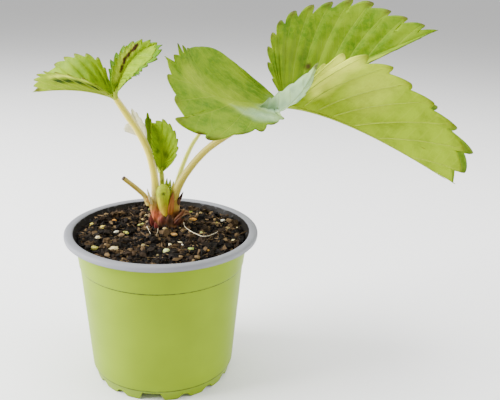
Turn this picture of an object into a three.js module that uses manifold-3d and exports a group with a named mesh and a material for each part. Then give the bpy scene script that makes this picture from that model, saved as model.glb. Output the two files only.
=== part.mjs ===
// A young strawberry plant in a thin moulded nursery pot.
// Millimetres, +Z up. The origin is the centre of the flat underside of the pot's floor.

import * as THREE from "three";
import { mergeVertices } from "three/addons/utils/BufferGeometryUtils.js";
import Module from "manifold-3d";

const wasm = await Module();
wasm.setup();

// ---------------------------------------------------------------- driving dimensions

const GAP = 0.3;                 // clearance between pieces that touch

const POT_HEIGHT = 85;
const RIM_RADIUS = 52.5;
const RIM_OPENING_RADIUS = 47.7;
const WALL = 0.9;
const WALL_TOP_RADIUS = 47;      // outer radius just under the rim
const WALL_TOP_Z = 81.4;
const LEDGE_Z = 67;              // stacking ledge
const LEDGE_RADIUS = 45.2;
const LEDGE_STEP = 0.5;
const CREASE_Z = 6.6;            // where the wall turns in to the feet
const CREASE_RADIUS = 39.9;
const FOOT_RADIUS = 37.8;
const FOOT_WIDTH = 3.2;
const FLOOR_LIFT = 3.0;          // height of the drained ring of the floor
const FLOOR_PAD_RADIUS = 22;     // flat middle of the floor that rests on the surface
const SEGMENTS = 40;             // round the pot and the soil

const FOOT_ANGLE = 16.4;         // degrees covered by one foot
const FOOT_GAP = 4.6;            // degrees between two feet of a group
const GROUP_GAP = 19.6;          // degrees between two groups
const FEET_PER_GROUP = 5;
const FOOT_GROUPS = 3;
const FIRST_FOOT_START = -90;    // degrees from +X at which the first foot begins
const DRAIN_HOLES = 6;
const DRAIN_RADIUS = 2.2;
const DRAIN_CIRCLE = 29;

const SOIL_LEVEL = 80.8;
const SOIL_RELIEF = 1.3;         // height of the crumbs
const SOIL_RINGS = 9;
const SOIL_MOUND = 1.2;          // rise round the crown
const GRIT_COUNT = 30;

const CROWN_X = 0;
const CROWN_Y = 11;
const CROWN_FOOT_Z = 66;         // the rootstock's lower end, inside the soil
const CROWN_FOOT_RADIUS = 5;

const BLADE = 0.7;               // thickness of a leaf blade
const YOUNG_BLADE = 0.6;
const RIB = 0.9;                 // how far a midrib stands out under its blade

const COLOUR = {
  pot: 0xa2ad51, soil: 0x2e2a22, crown: 0xb97a58, bud: 0xacae43,
  petiole: 0xb9a95c, petiolePale: 0xc9c08a, cut: 0x8d7038,
  leaf: 0x86a23a, leafPale: 0xb5bc55, young: 0xa5b648, dry: 0x8b6a45,
};

// ---------------------------------------------------------------- helpers

const rad = THREE.MathUtils.degToRad;
const lerp = THREE.MathUtils.lerp;
const clamp = THREE.MathUtils.clamp;
const vector = (p) => new THREE.Vector3(p[0], p[1], p[2]);

/** Repeatable random numbers in 0..1. */
function randomFrom(seed) {
  let state = seed;
  return () => {
    state = (state * 16807) % 2147483647;
    return state / 2147483647;
  };
}

function toSolid(geometry) {
  const bare = geometry.clone();
  bare.deleteAttribute("normal");
  bare.deleteAttribute("uv");
  const merged = mergeVertices(bare, 1e-4);
  const index = dropCollapsed(merged);
  return new wasm.Manifold(new wasm.Mesh({
    numProp: 3,
    vertProperties: new Float32Array(merged.attributes.position.array),
    triVerts: new Uint32Array(index),
  }));
}

/** The triangles of a merged geometry that still have three different corners. */
function dropCollapsed(geometry) {
  const kept = [];
  const index = geometry.index.array;
  for (let i = 0; i < index.length; i += 3) {
    const [a, b, c] = [index[i], index[i + 1], index[i + 2]];
    if (a !== b && b !== c && c !== a) kept.push(a, b, c);
  }
  return kept;
}

/** The geometry of a solid's largest piece; slivers that a cut leaves are dropped. */
function fromSolid(solid) {
  const pieces = solid.decompose().sort((a, b) => b.volume() - a.volume());
  const mesh = pieces[0].getMesh();
  const geometry = new THREE.BufferGeometry();
  geometry.setAttribute("position", new THREE.BufferAttribute(mesh.vertProperties, 3));
  geometry.setIndex(new THREE.BufferAttribute(mesh.triVerts, 1));
  return geometry;
}

const group = new THREE.Group();

function add(name, geometry, colour, roughness = 0.7) {
  const material = new THREE.MeshStandardMaterial({ color: colour, roughness, metalness: 0 });
  const mesh = new THREE.Mesh(geometry, material);
  mesh.name = name;
  group.add(mesh);
}

/** A closed solid of revolution about +Z from [radius, z] points. */
function turned(profile, segments) {
  const points = profile.map(([r, z]) => new THREE.Vector2(r, z));
  const geometry = new THREE.LatheGeometry(points, segments);
  geometry.rotateX(Math.PI / 2);
  return geometry;
}

/** A round stalk along a smooth curve; radii are spread evenly from its foot to its end. */
function stalk(points, radii, { sides = 8, steps = 14, grow = 0 } = {}) {
  const curve = new THREE.CatmullRomCurve3(points.map(vector), false, "centripetal");
  const geometry = new THREE.CylinderGeometry(1, 1, 1, sides, steps);
  const frames = curve.computeFrenetFrames(steps, false);
  const position = geometry.attributes.position;
  for (let i = 0; i < position.count; i++) {
    const share = position.getY(i) + 0.5;
    const step = Math.round(share * steps);
    const along = share * (radii.length - 1);
    const lower = Math.min(Math.floor(along), radii.length - 2);
    const radius = lerp(radii[lower], radii[lower + 1], along - lower) + grow;
    const place = curve.getPointAt(clamp(share, 0, 1));
    const stretch = share < 0.01 ? -grow : share > 0.99 ? grow : 0;
    place.addScaledVector(frames.tangents[step], stretch);
    place.addScaledVector(frames.normals[step], position.getX(i) * radius);
    place.addScaledVector(frames.binormals[step], position.getZ(i) * radius);
    position.setXYZ(i, place.x, place.y, place.z);
  }
  return outward(geometry);
}

/** The same solid with its faces turned to point out. */
function outward(geometry) {
  geometry.deleteAttribute("normal");
  geometry.deleteAttribute("uv");
  const merged = mergeVertices(geometry, 1e-4);
  const index = dropCollapsed(merged);
  const p = merged.attributes.position;
  const [a, b, c] = [new THREE.Vector3(), new THREE.Vector3(), new THREE.Vector3()];
  let volume = 0;
  for (let i = 0; i < index.length; i += 3) {
    a.fromBufferAttribute(p, index[i]);
    b.fromBufferAttribute(p, index[i + 1]);
    c.fromBufferAttribute(p, index[i + 2]);
    volume += a.dot(b.cross(c));
  }
  if (volume < 0) {
    for (let i = 0; i < index.length; i += 3) {
      [index[i + 1], index[i + 2]] = [index[i + 2], index[i + 1]];
    }
  }
  merged.setIndex(index);
  return merged;
}

// ---------------------------------------------------------------- leaf blades

/**
 * A leaflet is described flat and then bent:
 *   rib    three points of the midrib's curve, from the base to the tip
 *   face   which way the upper side looks, at the base and at the tip
 *   fold   how far each half is folded up, at the base and at the tip, in degrees
 *   curl   how much further each half turns up towards its margin, in degrees
 *   edge   the margin of each half: [share of the rib's length, mm out from the rib]
 *   teeth  number, where they start along the margin, and their depth
 * In each pair of halves the first is on the left as one looks from base to tip
 * with the upper side in view.
 */
class Leaflet {
  constructor(shape) {
    Object.assign(this, { pleat: 0.5, wave: 0, waves: 2, slant: [62, 28], sharp: 1.4 }, shape);
    this.curve = new THREE.QuadraticBezierCurve3(...this.rib.map(vector));
    this.length = this.curve.getLength();
    this.margins = this.edge.map((points) =>
      new THREE.SplineCurve([[0, 0], ...points, [1, 0]].map(([x, y]) => new THREE.Vector2(x, y))));
    this.faces = this.face.map((p) => vector(p).normalize());
  }

  /** Where a tooth stands at a place along the margin, in whole teeth. */
  toothPhase(v) {
    return (v - this.teeth.start) / (1 - this.teeth.start) * (this.teeth.count + 0.5);
  }

  /** Place along the rib (share) and across it (mm) of a point on side vein v, share t out. */
  flat(half, v, t) {
    const margin = this.margins[half];
    const at = margin.getPoint(v);
    const before = margin.getPoint(Math.max(0, v - 0.004));
    const after = margin.getPoint(Math.min(1, v + 0.004));
    const along = new THREE.Vector2((after.x - before.x) * this.length, after.y - before.y).normalize();
    const phase = this.toothPhase(v);
    const share = phase - Math.floor(phase);
    const rise = share < 0.62 ? share / 0.62 : (1 - share) / 0.38;
    const tooth = 0.55 - (1 - rise) ** this.sharp;
    const depth = this.teeth.depth * clamp(phase, 0, 1) * tooth * t ** 3;
    const veinAngle = rad(lerp(this.slant[0], this.slant[1], v));
    const soft = this.length * 0.04;
    const reach = (at.x * this.length - at.y / Math.tan(veinAngle)) / soft;
    const root = Math.min(soft * Math.log1p(Math.exp(clamp(reach, -30, 30))), this.length * 0.96)
      * clamp(v * 8, 0, 1);
    const x = lerp(root, at.x * this.length, t) + depth * (0.66 * along.x - 0.75 * along.y);
    const y = at.y * t + depth * (0.66 * along.y + 0.75 * along.x);
    return { x: x / this.length, y: Math.max(y, 0), phase };
  }

  point(half, v, t) {
    const side = half === 0 ? -1 : 1;
    const { x, y, phase } = this.flat(half, v, t);
    const inside = clamp(x, 0, 1);
    const place = this.curve.getPoint(inside);
    const tangent = this.curve.getTangent(inside);
    const speed = inside < 0.5 ? this.startSpeed() : this.endSpeed();
    place.addScaledVector(tangent, (x - inside) * speed);
    const up = this.faces[0].clone().lerp(this.faces[1], inside);
    up.addScaledVector(tangent, -up.dot(tangent)).normalize();
    const across = new THREE.Vector3().crossVectors(tangent, up).multiplyScalar(side);
    const base = rad(lerp(this.fold[half][0], this.fold[half][1], inside));
    const lean = base + rad(this.curl[half]) * t * 0.5;
    const turn = base + rad(this.curl[half]) * t;
    place.addScaledVector(across, y * Math.cos(lean)).addScaledVector(up, y * Math.sin(lean));
    const swing = this.waves * v + (side > 0 ? 0.3 : 0);
    const relief = this.wave * Math.sin(2 * Math.PI * swing) * t * t
      + this.pleat * Math.cos(2 * Math.PI * phase) * Math.sin(Math.PI * Math.min(t * 1.1, 1))
      * clamp(y / 6, 0, 1);
    place.addScaledVector(across, -relief * Math.sin(turn)).addScaledVector(up, relief * Math.cos(turn));
    return place;
  }

  startSpeed() {
    return 2 * this.curve.v1.distanceTo(this.curve.v0);
  }

  endSpeed() {
    return 2 * this.curve.v2.distanceTo(this.curve.v1);
  }

  /** Side veins to sample: a few below the teeth, then the steps of every tooth. */
  veins(steps) {
    const list = [0, 0.3, 0.65].map((s) => s * this.teeth.start);
    const { count, start } = this.teeth;
    for (let tooth = 0; tooth <= count; tooth++) {
      for (const step of steps) {
        const v = start + (tooth + step) / (count + 0.5) * (1 - start);
        if (v < 0.995) list.push(v);
      }
    }
    list.push(1);
    return list;
  }
}

// How finely each size of blade is sampled across its veins and along every tooth.
const LARGE = { thick: BLADE, rib: RIB, across: [0, 0.06, 0.48, 1], steps: [0, 0.36, 0.66] };
const MEDIUM = { thick: BLADE, rib: 0.6, across: [0, 0.08, 0.55, 1], steps: [0, 0.6] };
const SMALL = { thick: YOUNG_BLADE, rib: 0.4, across: [0, 0.5, 1], steps: [0, 0.6] };

/** A closed blade: upper and lower skins with the same triangles, joined round the margin. */
function blade(shape, { thick, rib, across, steps }) {
  const leaflet = new Leaflet(shape);
  const veins = leaflet.veins(steps);
  const last = across.length - 1;
  const middle = [];
  const ribLift = [];
  const number = [[], []];
  veins.forEach((v, i) => {
    for (const half of [0, 1]) {
      number[half].push(across.map((t, j) => {
        if (i === 0 && (j > 0 || half === 1)) return 0;
        if (j === 0 && half === 1) return number[0][i][0];
        if (i === veins.length - 1 && j > 0 && half === 1) return number[0][i][j];
        middle.push(leaflet.point(half, v, t));
        const fade = i === veins.length - 1 ? 0.25 : 1 - 0.75 * v;
        ribLift.push(j === 0 || i === veins.length - 1 ? rib * fade : 0);
        return middle.length - 1;
      }));
    }
  });
  const faces = [];
  for (const half of [0, 1]) {
    for (let i = 0; i < veins.length - 1; i++) {
      for (let j = 0; j < last; j++) {
        const n = number[half];
        const [a, b, c, d] = [n[i][j], n[i + 1][j], n[i + 1][j + 1], n[i][j + 1]];
        const quad = half === 0 ? [[a, b, c], [a, c, d]] : [[a, c, b], [a, d, c]];
        for (const f of quad) if (new Set(f).size === 3) faces.push(f);
      }
    }
  }
  return thicken(middle, faces, thick, ribLift);
}

/** Two copies of an open sheet, a thickness apart, closed along its free edges. */
function thicken(middle, faces, thick, extraBelow) {
  const sheet = new THREE.BufferGeometry().setFromPoints(middle);
  sheet.setIndex(faces.flat());
  sheet.computeVertexNormals();
  const normal = new THREE.Vector3();
  const count = middle.length;
  const points = [];
  for (const side of [0.5, -0.5]) {
    middle.forEach((p, i) => {
      normal.fromBufferAttribute(sheet.attributes.normal, i);
      const offset = side * thick - (side < 0 ? extraBelow[i] : 0);
      points.push(p.clone().addScaledVector(normal, offset));
    });
  }
  const edges = new Map();
  for (const [a, b, c] of faces) {
    for (const [p, q] of [[a, b], [b, c], [c, a]]) {
      if (edges.has(`${q} ${p}`)) edges.delete(`${q} ${p}`);
      else edges.set(`${p} ${q}`, [p, q]);
    }
  }
  const index = [];
  for (const [a, b, c] of faces) index.push(a, b, c, a + count, c + count, b + count);
  for (const [p, q] of edges.values()) {
    index.push(p, p + count, q + count, p, q + count, q);
  }
  const solid = new THREE.BufferGeometry().setFromPoints(points);
  solid.setIndex(index);
  return outward(solid);
}

// ---------------------------------------------------------------- pot

function potGeometry() {
  const lip = POT_HEIGHT - WALL_TOP_Z;
  const padCorner = FLOOR_PAD_RADIUS + 1.5;
  const footInner = FOOT_RADIUS - FOOT_WIDTH;
  const profile = [
    // underside, from the middle outwards
    [0, 0], [FLOOR_PAD_RADIUS, 0], [padCorner, FLOOR_LIFT], [footInner - 0.8, FLOOR_LIFT],
    [footInner, 0], [FOOT_RADIUS, 0],
    // outside of the wall
    [CREASE_RADIUS - 0.7, CREASE_Z - 0.6], [CREASE_RADIUS, CREASE_Z],
    [LEDGE_RADIUS - LEDGE_STEP, LEDGE_Z - 0.6], [LEDGE_RADIUS, LEDGE_Z + 0.2],
    [WALL_TOP_RADIUS, WALL_TOP_Z],
    // rim: out under the flange, round the turned-down lip, back over the top
    [WALL_TOP_RADIUS + 0.7, WALL_TOP_Z + 1.9], [RIM_RADIUS - 1.3, WALL_TOP_Z + 2.2],
    [RIM_RADIUS - 1.0, POT_HEIGHT - lip * 0.85], [RIM_RADIUS - 0.1, POT_HEIGHT - lip * 0.85],
    [RIM_RADIUS, POT_HEIGHT - 1.1], [RIM_RADIUS - 0.5, POT_HEIGHT - 0.25], [RIM_RADIUS - 1.3, POT_HEIGHT],
    [RIM_OPENING_RADIUS + 0.9, POT_HEIGHT - 0.1], [RIM_OPENING_RADIUS, POT_HEIGHT - 0.8],
    // inside of the wall
    [WALL_TOP_RADIUS - WALL, WALL_TOP_Z - 0.6], [LEDGE_RADIUS - WALL, LEDGE_Z],
    [LEDGE_RADIUS - LEDGE_STEP - WALL, LEDGE_Z - 0.8], [CREASE_RADIUS - WALL, CREASE_Z + 0.2],
    [footInner - 1, FLOOR_LIFT + WALL + 0.4], [footInner - 2, FLOOR_LIFT + WALL],
    [padCorner - 0.6, FLOOR_LIFT + WALL], [FLOOR_PAD_RADIUS - 0.7, WALL], [0, WALL],
  ];
  let pot = toSolid(outward(turned(profile, SEGMENTS)));
  for (const [angle, width] of footGaps()) {
    pot = pot.subtract(toSolid(footNotch(angle, width)));
  }
  for (let i = 0; i < DRAIN_HOLES; i++) {
    const hole = new THREE.CylinderGeometry(DRAIN_RADIUS, DRAIN_RADIUS, 10, 8);
    hole.rotateX(Math.PI / 2);
    hole.translate(DRAIN_CIRCLE, 0, FLOOR_LIFT);
    hole.rotateZ(2 * Math.PI * (i + 0.5) / DRAIN_HOLES);
    pot = pot.subtract(toSolid(hole));
  }
  return fromSolid(pot);
}

/** Middle angle and width, in degrees, of every gap between two feet. */
function footGaps() {
  const gaps = [];
  let angle = FIRST_FOOT_START;
  for (let g = 0; g < FOOT_GROUPS; g++) {
    for (let f = 1; f <= FEET_PER_GROUP; f++) {
      angle += FOOT_ANGLE;
      const width = f < FEET_PER_GROUP ? FOOT_GAP : GROUP_GAP;
      gaps.push([angle + width / 2, width]);
      angle += width;
    }
  }
  return gaps;
}

/** The cutter for one gap: wider at the ground, where the feet's corners are rounded. */
function footNotch(angle, width) {
  const half = rad(width / 2) * FOOT_RADIUS;
  const top = FLOOR_LIFT;
  const outline = new THREE.Shape();
  outline.moveTo(-half - 1.4, -1);
  outline.lineTo(half + 1.4, -1);
  outline.lineTo(half + 1.4, 0);
  outline.quadraticCurveTo(half + 0.1, 0.1, half, 1.2);
  outline.lineTo(half - 0.3, top);
  outline.lineTo(-half + 0.3, top);
  outline.lineTo(-half, 1.2);
  outline.quadraticCurveTo(-half - 0.1, 0.1, -half - 1.4, 0);
  outline.closePath();
  const cutter = new THREE.ExtrudeGeometry(outline, { depth: 12, bevelEnabled: false, curveSegments: 2 });
  cutter.rotateX(Math.PI / 2);
  cutter.rotateZ(Math.PI / 2);
  cutter.translate(FOOT_RADIUS - FOOT_WIDTH - 1.6, 0, 0);
  cutter.rotateZ(rad(angle));
  return outward(cutter);
}

// ---------------------------------------------------------------- soil

/** Height of the crumbly surface above the soil level. */
function soilHeight(x, y) {
  const clods = Math.sin(0.61 * x + 1.3 * Math.sin(0.37 * y))
    * Math.sin(0.53 * y + 1.1 * Math.sin(0.41 * x));
  const crumbs = Math.sin(1.9 * x + 2.1 * Math.sin(0.9 * y))
    * Math.sin(1.7 * y + 1.9 * Math.sin(1.1 * x));
  const near = Math.exp(-((x - CROWN_X) ** 2 + (y - CROWN_Y) ** 2) / 160);
  return SOIL_RELIEF * (0.55 * clods + 0.45 * crumbs) * (1 - 0.6 * near) + SOIL_MOUND * near;
}

function soilGeometry() {
  const inner = (z) => {
    const low = CREASE_RADIUS - WALL;
    const high = LEDGE_RADIUS - LEDGE_STEP - WALL;
    return lerp(low, high, (z - CREASE_Z) / (LEDGE_Z - CREASE_Z)) - GAP;
  };
  const floor = FLOOR_LIFT + WALL + GAP + 0.6;
  const ledgeInner = LEDGE_RADIUS - WALL - GAP - 0.1;
  const edge = lerp(LEDGE_RADIUS, WALL_TOP_RADIUS, 0.85) - WALL - GAP - 0.15;
  const profile = [[0, floor], [CREASE_RADIUS - 6, floor], [inner(CREASE_Z + 2), CREASE_Z + 2],
    [inner(LEDGE_Z - 2), LEDGE_Z - 2], [ledgeInner - 0.3, LEDGE_Z + 0.5], [edge, SOIL_LEVEL - 1]];
  for (let ring = SOIL_RINGS - 1; ring >= 0; ring--) profile.push([edge * ring / SOIL_RINGS, SOIL_LEVEL]);
  const body = turned(profile, SEGMENTS);
  const position = body.attributes.position;
  for (let i = 0; i < position.count; i++) {
    const [x, y, z] = [position.getX(i), position.getY(i), position.getZ(i)];
    if (z > SOIL_LEVEL - 0.5) position.setZ(i, SOIL_LEVEL + soilHeight(x, y));
  }
  let soil = toSolid(outward(body));
  for (const piece of gritPieces(edge)) soil = soil.add(piece);
  const socket = new THREE.CylinderGeometry(
    CROWN_FOOT_RADIUS + 2.4, CROWN_FOOT_RADIUS + 2 * GAP, SOIL_LEVEL + 8 - CROWN_FOOT_Z, 14);
  socket.rotateX(Math.PI / 2);
  socket.translate(CROWN_X, CROWN_Y, (SOIL_LEVEL + 8 + CROWN_FOOT_Z) / 2 - GAP);
  return fromSolid(soil.subtract(toSolid(socket)));
}

/** Bark chips and perlite grains, sunk into the surface. */
function gritPieces(edge) {
  const random = randomFrom(4711);
  const pieces = [];
  while (pieces.length < GRIT_COUNT) {
    const angle = 2 * Math.PI * random();
    const distance = (edge - 4) * Math.sqrt(random());
    const [x, y] = [distance * Math.cos(angle), distance * Math.sin(angle)];
    const size = 1.1 + 1.2 * random();
    const grain = new THREE.IcosahedronGeometry(1, 0);
    grain.scale(size * (1 + 0.5 * random()), size, size * (0.7 + 0.3 * random()));
    grain.rotateZ(Math.PI * random());
    grain.translate(x, y, SOIL_LEVEL + soilHeight(x, y) + 0.15 * size);
    if (Math.hypot(x - CROWN_X, y - CROWN_Y) > 11) pieces.push(toSolid(grain));
  }
  return pieces;
}

// ---------------------------------------------------------------- stems

const PETIOLES = {
  petiole_a: {
    points: [[-3, 9.6, 91], [-4.8, 9.3, 101], [-4.9, 9.2, 108], [-5.9, 9, 116], [-8.5, 8.4, 126.4],
      [-13.6, 7.5, 137.5], [-18.6, 6.6, 145.4], [-24.6, 5.3, 155.1]],
    radii: [2.4, 2.3, 2.1, 2, 2, 2, 1.6], steps: 16, colour: COLOUR.petiolePale,
  },
  petiole_b: {
    points: [[4.4, 8.8, 88], [5.9, 8.4, 100.4], [9.9, 8, 110.2], [13.9, 8, 116.4], [18, 8, 121.9],
      [25.2, 7.5, 129.5], [43.7, 6.5, 142.6], [62.9, 4.9, 154.7]],
    radii: [2.7, 2.4, 2, 1.9, 1.8, 1.8, 1.7], steps: 18, colour: COLOUR.petiole,
  },
  petiole_c: {
    points: [[4, 13.8, 95.5], [5.8, 14.4, 103.5], [9.5, 18.5, 115.7], [14.1, 23.2, 126.2], [17.2, 25, 131],
      [25.2, 27.2, 144]],
    radii: [1.5, 1.35, 1.25, 1.1, 1], steps: 12, colour: COLOUR.petiolePale,
  },
  petiole_d: {
    points: [[-1.4, 13.6, 94.5], [-1.5, 13, 104], [-1.7, 12.4, 112.8]],
    radii: [1.6, 1.4], steps: 5, colour: COLOUR.petiolePale,
  },
  cut_petiole: {
    points: [[-7.8, 7, 95.4], [-10.3, 6.4, 100.8], [-13.4, 5, 104.6], [-20.9, 0, 113]],
    radii: [1.7, 1.35, 1.3, 1.2], steps: 7, colour: COLOUR.cut,
  },
};

const BUD = { centre: [-0.5, 7.6, 98.5], size: [3.5, 3.3, 7] };

function budGeometry(grow = 0) {
  const bud = new THREE.SphereGeometry(1, 12, 8);
  bud.rotateX(Math.PI / 2);
  bud.scale(...BUD.size.map((s) => s + grow));
  bud.translate(...BUD.centre);
  return outward(bud);
}

/** Takes room for every stalk, with its clearance, out of a solid. */
function cutForStalks(solid) {
  let cut = solid;
  for (const spec of Object.values(PETIOLES)) {
    cut = cut.subtract(toSolid(stalk(spec.points, spec.radii, { steps: spec.steps, grow: GAP })));
  }
  return cut;
}

/** The short woody stem with the leaf bases that wrap it, hollowed where stalks stand in it. */
function crownGeometry() {
  const rootstock = turned([[0, CROWN_FOOT_Z], [CROWN_FOOT_RADIUS, CROWN_FOOT_Z], [5.3, 78], [5.9, 82],
    [6.7, 86], [6.4, 91], [5, 95], [3, 97.5], [0, 98]], 14);
  rootstock.translate(CROWN_X, CROWN_Y, 0);
  let crown = toSolid(outward(rootstock));
  const sheaths = [
    { points: [[-2.6, 10.2, 85.6], [-3.9, 9.5, 93], [-4.8, 9.3, 100.5]], radii: [3.6, 3.7, 2.8] },
    { points: [[2.4, 9.6, 85.6], [4.7, 8.7, 91.5], [5.8, 8.4, 99.5]], radii: [3.8, 3.8, 3.1] },
    { points: [[-3.6, 9.6, 88], [-6.5, 7.8, 94], [-9, 6.8, 98.6]], radii: [3, 2.7, 1.9] },
  ];
  for (const sheath of sheaths) {
    crown = crown.add(toSolid(stalk(sheath.points, sheath.radii, { sides: 8, steps: 4 })));
  }
  return fromSolid(cutForStalks(crown).subtract(toSolid(budGeometry(GAP))));
}

// ---------------------------------------------------------------- leaves

const LEAFLETS = {
  leaf_b_top: {
    rib: [[63.1, 6.3, 155.9], [87, 25, 168], [143.6, 33, 191.2]],
    face: [[0, -0.63, 0.78], [-0.03, -0.55, 0.84]],
    fold: [[22, 12], [39, 40]], curl: [6, 11],
    edge: [[[0.11, 22], [0.37, 39], [0.74, 33.5], [0.86, 20]],
      [[0.1, 9], [0.36, 20.5], [0.68, 21.2], [0.89, 14.5]]],
    teeth: { count: 9, start: 0.16, depth: 6 }, pleat: 0.5, colour: COLOUR.leaf,
  },
  leaf_b_near: {
    rib: [[62, 2.9, 155.8], [26, -26, 156], [10, -45.5, 181.5]],
    face: [[-0.17, -0.42, 0.89], [-0.08, -0.66, 0.75]],
    fold: [[8, 9], [24, -2]], curl: [9, 9],
    edge: [[[0.22, 20], [0.33, 30], [0.84, 42], [0.95, 22]],
      [[0.09, 15.5], [0.29, 34.5], [0.55, 31.5], [0.84, 15]]],
    teeth: { count: 9, start: 0.3, depth: 6 }, pleat: 0.4, colour: COLOUR.leaf,
  },
  leaf_b_right: {
    rib: [[63.9, 4.1, 153.9], [93, -3, 154], [146.5, -25, 124.8]],
    face: [[0.08, 0.43, 0.9], [0.27, 0.21, 0.94]],
    fold: [[46, 52], [46, 53]], curl: [11, 6],
    edge: [[[0.1, 14], [0.36, 37], [0.73, 40], [0.99, 20.4]],
      [[0.2, 14], [0.42, 30], [0.67, 30], [0.94, 20.5]]],
    teeth: { count: 9, start: 0.22, depth: 6 }, pleat: 0.35, colour: COLOUR.leafPale,
  },
  leaf_a_left: {
    rib: [[-25.3, 4.9, 155.4], [-40.3, -3.1, 162.6], [-67.6, 10, 156.2]],
    face: [[-0.07, -0.42, 0.91], [0.1, -0.21, 0.97]],
    fold: [[42, 60], [51, 42]], curl: [4, 8],
    edge: [[[0.17, 8], [0.35, 16], [0.59, 16], [0.82, 11]],
      [[0.1, 6.6], [0.35, 17.4], [0.71, 16], [0.87, 10]]],
    teeth: { count: 8, start: 0.25, depth: 3 }, pleat: 0.5, colour: COLOUR.young,
  },
  leaf_a_middle: {
    rib: [[-24.3, 4.6, 156.1], [-19.3, 0.8, 176.9], [-1.3, -8, 184.6]],
    face: [[-0.2, -0.74, 0.65], [0.11, -0.73, 0.67]],
    fold: [[56, 55], [36, 2]], curl: [10, 15],
    edge: [[[0.18, 4], [0.43, 6], [0.65, 6], [0.84, 4.5]],
      [[0.19, 6.6], [0.47, 12], [0.71, 14], [1, 9.3]]],
    teeth: { count: 7, start: 0.3, depth: 2.6 }, pleat: 0.4, colour: COLOUR.young,
  },
  leaf_a_rear: {
    rib: [[-24.9, 6.5, 155.9], [-27.2, 24.5, 174], [-2.2, 13, 181.6]],
    face: [[-0.09, -0.69, 0.72], [0.07, -0.73, 0.68]],
    fold: [[3, 4], [20, 6]], curl: [3, 2],
    edge: [[[0.19, 4], [0.43, 7.3], [0.69, 7.7], [0.85, 4.6]], [[0.12, 5], [0.36, 10], [0.7, 13], [1.0, 10]]],
    teeth: { count: 8, start: 0.25, depth: 3 }, pleat: 0.4, colour: COLOUR.leaf,
  },
};

const SMALL_LEAFLETS = {
  leaf_c_left: {
    rib: [[24, 27.1, 144.7], [14, 32, 156], [5, 36, 156]],
    face: [[0.2, -0.5, 0.85], [-0.1, -0.4, 0.9]],
    fold: [[25, 20], [25, 20]], curl: [8, 8],
    edge: [[[0.15, 4], [0.4, 8], [0.7, 8], [0.92, 5]], [[0.15, 4], [0.4, 8], [0.7, 8], [0.92, 5]]],
    teeth: { count: 6, start: 0.3, depth: 1.8 }, pleat: 0.25, colour: COLOUR.young,
  },
  leaf_c_middle: {
    rib: [[25.4, 28.1, 144.2], [30, 40, 158], [33, 52, 158]],
    face: [[0.1, -0.6, 0.8], [0, -0.4, 0.9]],
    fold: [[25, 20], [25, 20]], curl: [8, 8],
    edge: [[[0.15, 4], [0.4, 8], [0.7, 8], [0.92, 5]], [[0.15, 4], [0.4, 8], [0.7, 8], [0.92, 5]]],
    teeth: { count: 6, start: 0.3, depth: 1.8 }, pleat: 0.25, colour: COLOUR.young,
  },
  leaf_c_right: {
    rib: [[25.8, 26.7, 144.2], [38, 24, 156], [47, 22, 155]],
    face: [[-0.2, -0.5, 0.85], [0.1, -0.4, 0.9]],
    fold: [[25, 20], [25, 20]], curl: [8, 8],
    edge: [[[0.15, 4], [0.4, 8], [0.7, 8], [0.92, 5]], [[0.15, 4], [0.4, 8], [0.7, 8], [0.92, 5]]],
    teeth: { count: 6, start: 0.3, depth: 1.8 }, pleat: 0.25, colour: COLOUR.young,
  },
  leaf_d_front: {
    rib: [[-1.6, 11.6, 113.2], [0.8, 11, 125.9], [-5.9, 8.8, 141]],
    face: [[0, -0.92, 0.4], [0.1, -0.9, 0.4]],
    fold: [[42, 38], [25, 25]], curl: [10, 12],
    edge: [[[0.15, 3], [0.4, 6], [0.7, 5.8], [0.9, 3]], [[0.15, 4], [0.4, 9], [0.72, 11], [0.98, 7.5]]],
    teeth: { count: 7, start: 0.35, depth: 1.6 }, pleat: 0.35, colour: COLOUR.young,
  },
  leaf_d_rear: {
    rib: [[-2.8, 14, 112.8], [-9, 17, 126], [-9.2, 14.6, 145.2]],
    face: [[0.2, -0.9, 0.2], [0.2, -0.9, 0.2]],
    fold: [[24, 24], [24, 24]], curl: [6, 6],
    edge: [[[0.15, 1.6], [0.4, 3.2], [0.7, 3], [0.9, 1.6]],
      [[0.15, 1.6], [0.4, 3.2], [0.7, 3], [0.9, 1.6]]],
    teeth: { count: 5, start: 0.35, depth: 0.9 }, pleat: 0.15, colour: COLOUR.young,
  },
  petiole_bract: {
    rib: [[-9.9, 10.8, 131.2], [-13.6, 12.4, 138], [-17.4, 12.6, 147.6]],
    face: [[0, -0.95, 0.3], [0, -0.95, 0.3]],
    fold: [[5, 5], [12, 12]], curl: [8, 10],
    edge: [[[0.15, 2], [0.4, 5], [0.58, 8.4], [0.74, 3.6]],
      [[0.12, 1.8], [0.35, 3.2], [0.6, 3], [0.85, 1.8]]],
    teeth: { count: 3, start: 0.4, depth: 0.9 }, pleat: 0.15, colour: COLOUR.petiolePale,
  },
  dry_stipule: {
    rib: [[8.9, 6.6, 89.6], [11.6, 5.2, 92.2], [14.8, 4.6, 92]],
    face: [[-0.1, -0.7, 0.7], [0.2, -0.7, 0.7]],
    fold: [[10, 20], [10, 30]], curl: [30, 40],
    edge: [[[0.1, 2.2], [0.35, 2.8], [0.65, 2], [0.85, 1]], [[0.1, 2.2], [0.35, 2.8], [0.65, 2], [0.85, 1]]],
    teeth: { count: 2, start: 0.6, depth: 0.3 }, pleat: 0.1, colour: COLOUR.dry,
  },
};

// The rolled base of the near leaflet, which stands up in front of the leaf's fork.
const ROLLED_LOBE = {
  rib: [[49, -12, 151.5], [69.5, -13, 153], [79.5, -10, 171.5]],
  face: [[0, 0.5, 0.86], [0.1, 0.9, 0.4]],
  fold: [[20, 30], [20, 30]], curl: [30, 30],
  edge: [[[0.1, 6], [0.4, 7.5], [0.7, 6], [0.9, 2.6]], [[0.1, 6], [0.4, 7.5], [0.7, 6], [0.9, 2.6]]],
  teeth: { count: 2, start: 0.6, depth: 0.5 }, pleat: 0.2,
};

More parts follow.
